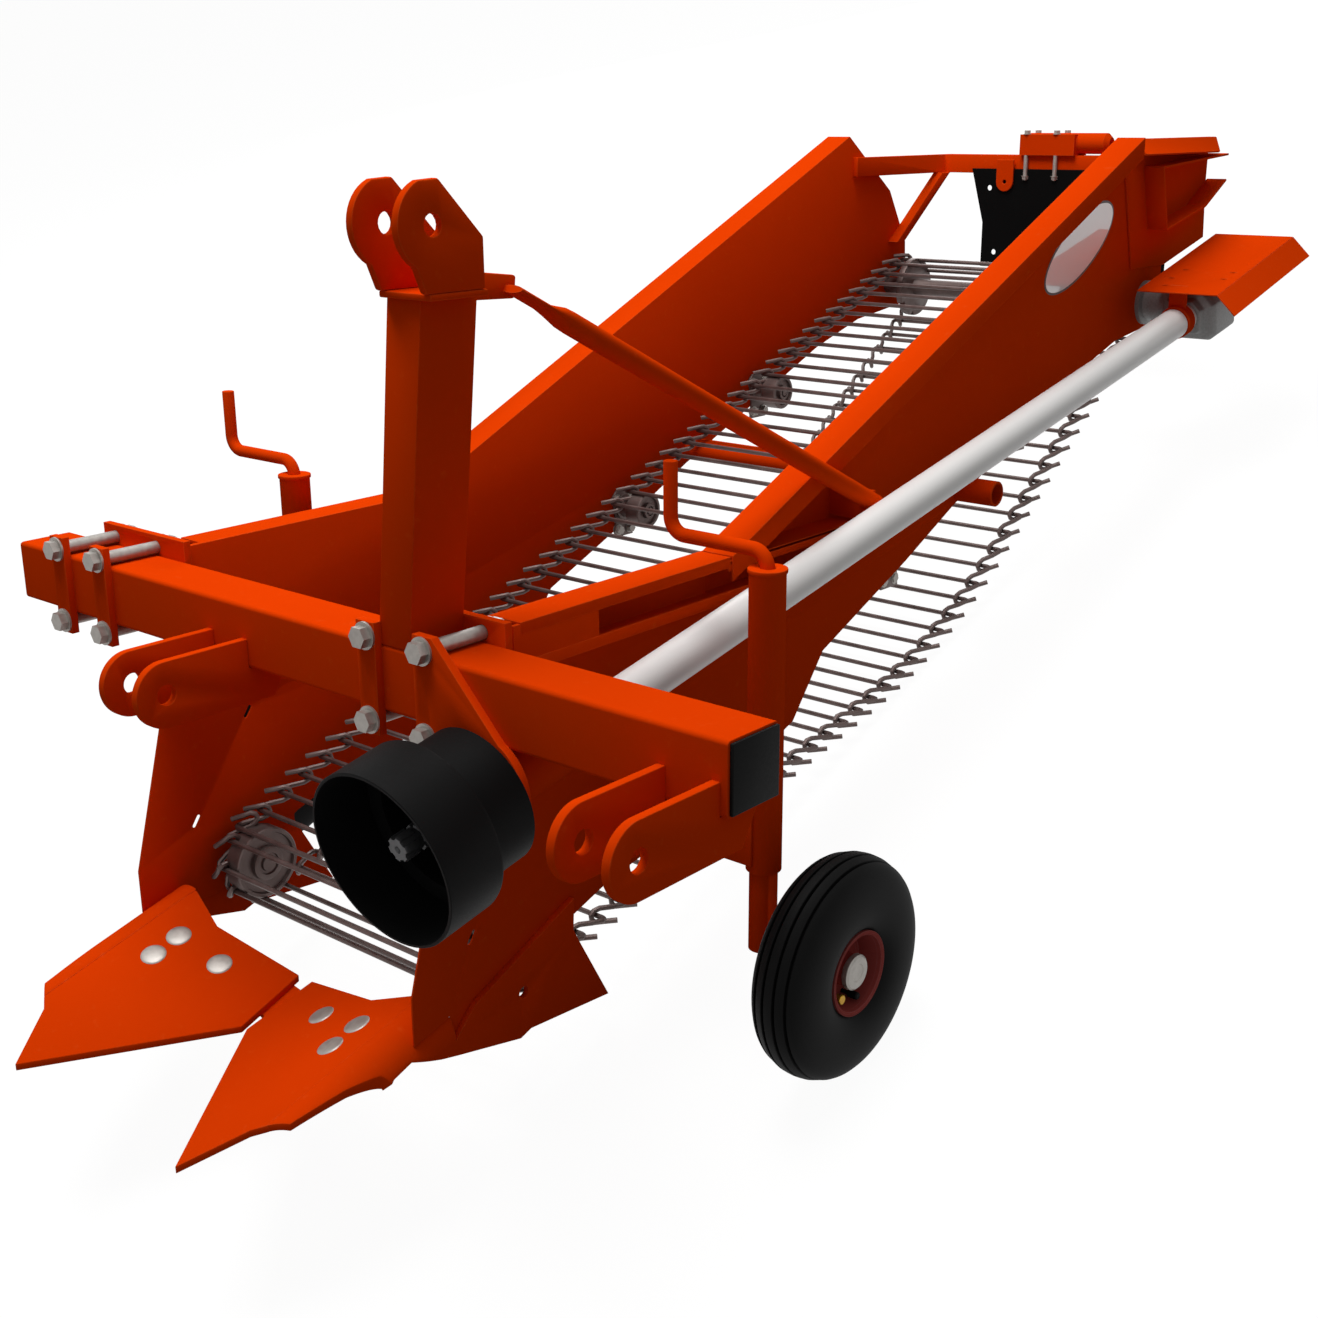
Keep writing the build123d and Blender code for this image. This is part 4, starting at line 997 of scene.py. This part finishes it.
for lug_x in (-230.0, 110.0):
    foot = [(lug_x + lug_half * math.cos(angle), lug_low + lug_half * math.sin(angle))
            for angle in foot_angles]
    lug_edge = [(lug_x - lug_half, lug_high), *foot, (lug_x + lug_half, lug_high)]
    lug = cut_sheet("strap_lug", lug_edge, [round_hole(lug_x, lug_low, 4.5, 4.5)],
                    lambda x, height: Vector((x, lug_reach, height)), lug_thick)
    settle(lug, "frame", "orange_paint")
    dress(lug, orange_enamel)

bar_top = 1170.0
saddle_reach = 2230.0
saddle_half = 30.0
saddle_run = (-196.0, -64.0)
saddle_top = 1214.0
tube_height = 1195.0
saddle_side = oblong((saddle_reach - saddle_half, saddle_reach + saddle_half), (bar_top, saddle_top))
block = lofted("saddle", [[parked @ Vector((x, reach, height)) for reach, height in saddle_side]
                          for x in saddle_run], True)
outline = [(2, 0), (2, 20), (4, 22), (196, 22), (206, 13), (206, 9), (198, 9), (198, 0)]
tube_end = parked @ Vector((saddle_run[0], saddle_reach, tube_height))
tube = turned("tube", outline, tube_end, across_out, 32)
joined("clamp_arm_saddle", [block, tube], orange_enamel, "frame", "orange_paint", "clamp_arm")
saddle_bolt = {"Head Radius": 7.5 * MM, "Head Height": 7.0 * MM, "Washer Radius": 8.5 * MM,
               "Washer": 1.5 * MM, "Shank Radius": 5.0 * MM, "Grip": 88.0 * MM, "Nut": 6.0 * MM}
places = [parked @ Vector((x, saddle_reach + deep, saddle_top)) for x in (-181, -109) for deep in (-25, 25)]
grown("saddle_bolts", places, {"facing": [level @ Vector((0, 0, 1))] * len(places)},
      bolt_tree, saddle_bolt, "frame", "zinc_steel")


# Tail bracket: a plate on the left wall's outside with a tapered channel welded to it, closed in front
# by a slanted gusset. Over it the wall's top flange runs on level, its outer half folded down.
bracket_plate = 4.0
plate_x = web_x + wall_out + 2.3
flange_in = wall_out + 4.4
flange_out = 358.0
web_plate = [(1850, 1205), (2250, 1205), (2250, 1125), (2262, 1005), (2075, 960), (1925, 960)]
channel_top = [(1946, 1156), (2255, 1175)]
channel_low = [(1984, 1036), (2160, 1074), (2255, 1124)]
gusset = [channel_top[0], channel_low[0]]
parts = [cut_sheet("web_plate", web_plate, [], lambda reach, height: Vector((plate_x, reach, height)),
                   bracket_plate)]
for first, last in (channel_top, channel_low[:2], channel_low[1:], gusset):
    parts.append(cut_sheet("strip", oblong((0, 1), (flange_in, flange_out)), [],
                           lambda along, out: Vector((web_x + out, first[0] + along * (last[0] - first[0]),
                                                      first[1] + along * (last[1] - first[1]))),
                           bracket_plate))
roof_top = 1208.0
roof_out = 329.0
eave_out = 33.0
eave_drop = 27.0
roof = [(1850, wall_out), (2250, wall_out), (2250, roof_out), (1893, roof_out)]
parts.append(cut_sheet("roof", roof, [], lambda reach, out: Vector((web_x + out, reach, roof_top)),
                       bracket_plate))
eave = [(1893, 0), (2250, 0), (2197, 1), (1826, 1)]
parts.append(cut_sheet("eave", eave, [],
                       lambda reach, down: Vector((web_x + roof_out + eave_out * down, reach,
                                                   roof_top - eave_drop * down)), bracket_plate))
joined("tail_bracket_folded", parts, orange_enamel, "frame", "orange_paint", "tail_bracket")


# Name plate: a blank oval of glossy pale vinyl with a printed dark border. It is stuck on the left wall's
# outside, along the elevator's slope.
pale_vinyl = plain("pale vinyl", "#F4F1F0", {"Roughness": 0.3, "Specular IOR Level": 1.0,
                                             "Coat Weight": 1.0, "Coat IOR": 1.8})
dark_border = plain("dark printed border", "#3A2320", {"Roughness": 0.45})
plate_middle = Vector((web_x + wall_out, 1703.0, 1016.0))
plate_long = 146.0
plate_short = 54.5
border = 5.0
plate_lean = math.radians(27.0)
along = Vector((0, math.cos(plate_lean), math.sin(plate_lean)))
upward = Vector((0, -math.sin(plate_lean), math.cos(plate_lean)))
oval_angles = [2 * math.pi * step / 72 for step in range(72)]
for name, grow, proud, finish in (("border", 0.0, 0.6, dark_border), ("plate", -border, 1.0, pale_vinyl)):
    ring = [plate_middle + along * (plate_long + grow) * math.cos(angle)
            + upward * (plate_short + grow) * math.sin(angle) for angle in oval_angles]
    rings = [[parked @ (point + across_out * lift) for point in ring] for lift in (0.0, proud)]
    oval = lofted("oval_" + name, rings, True)
    settle(oval, "frame", "white_paint")
    dress(oval, finish)
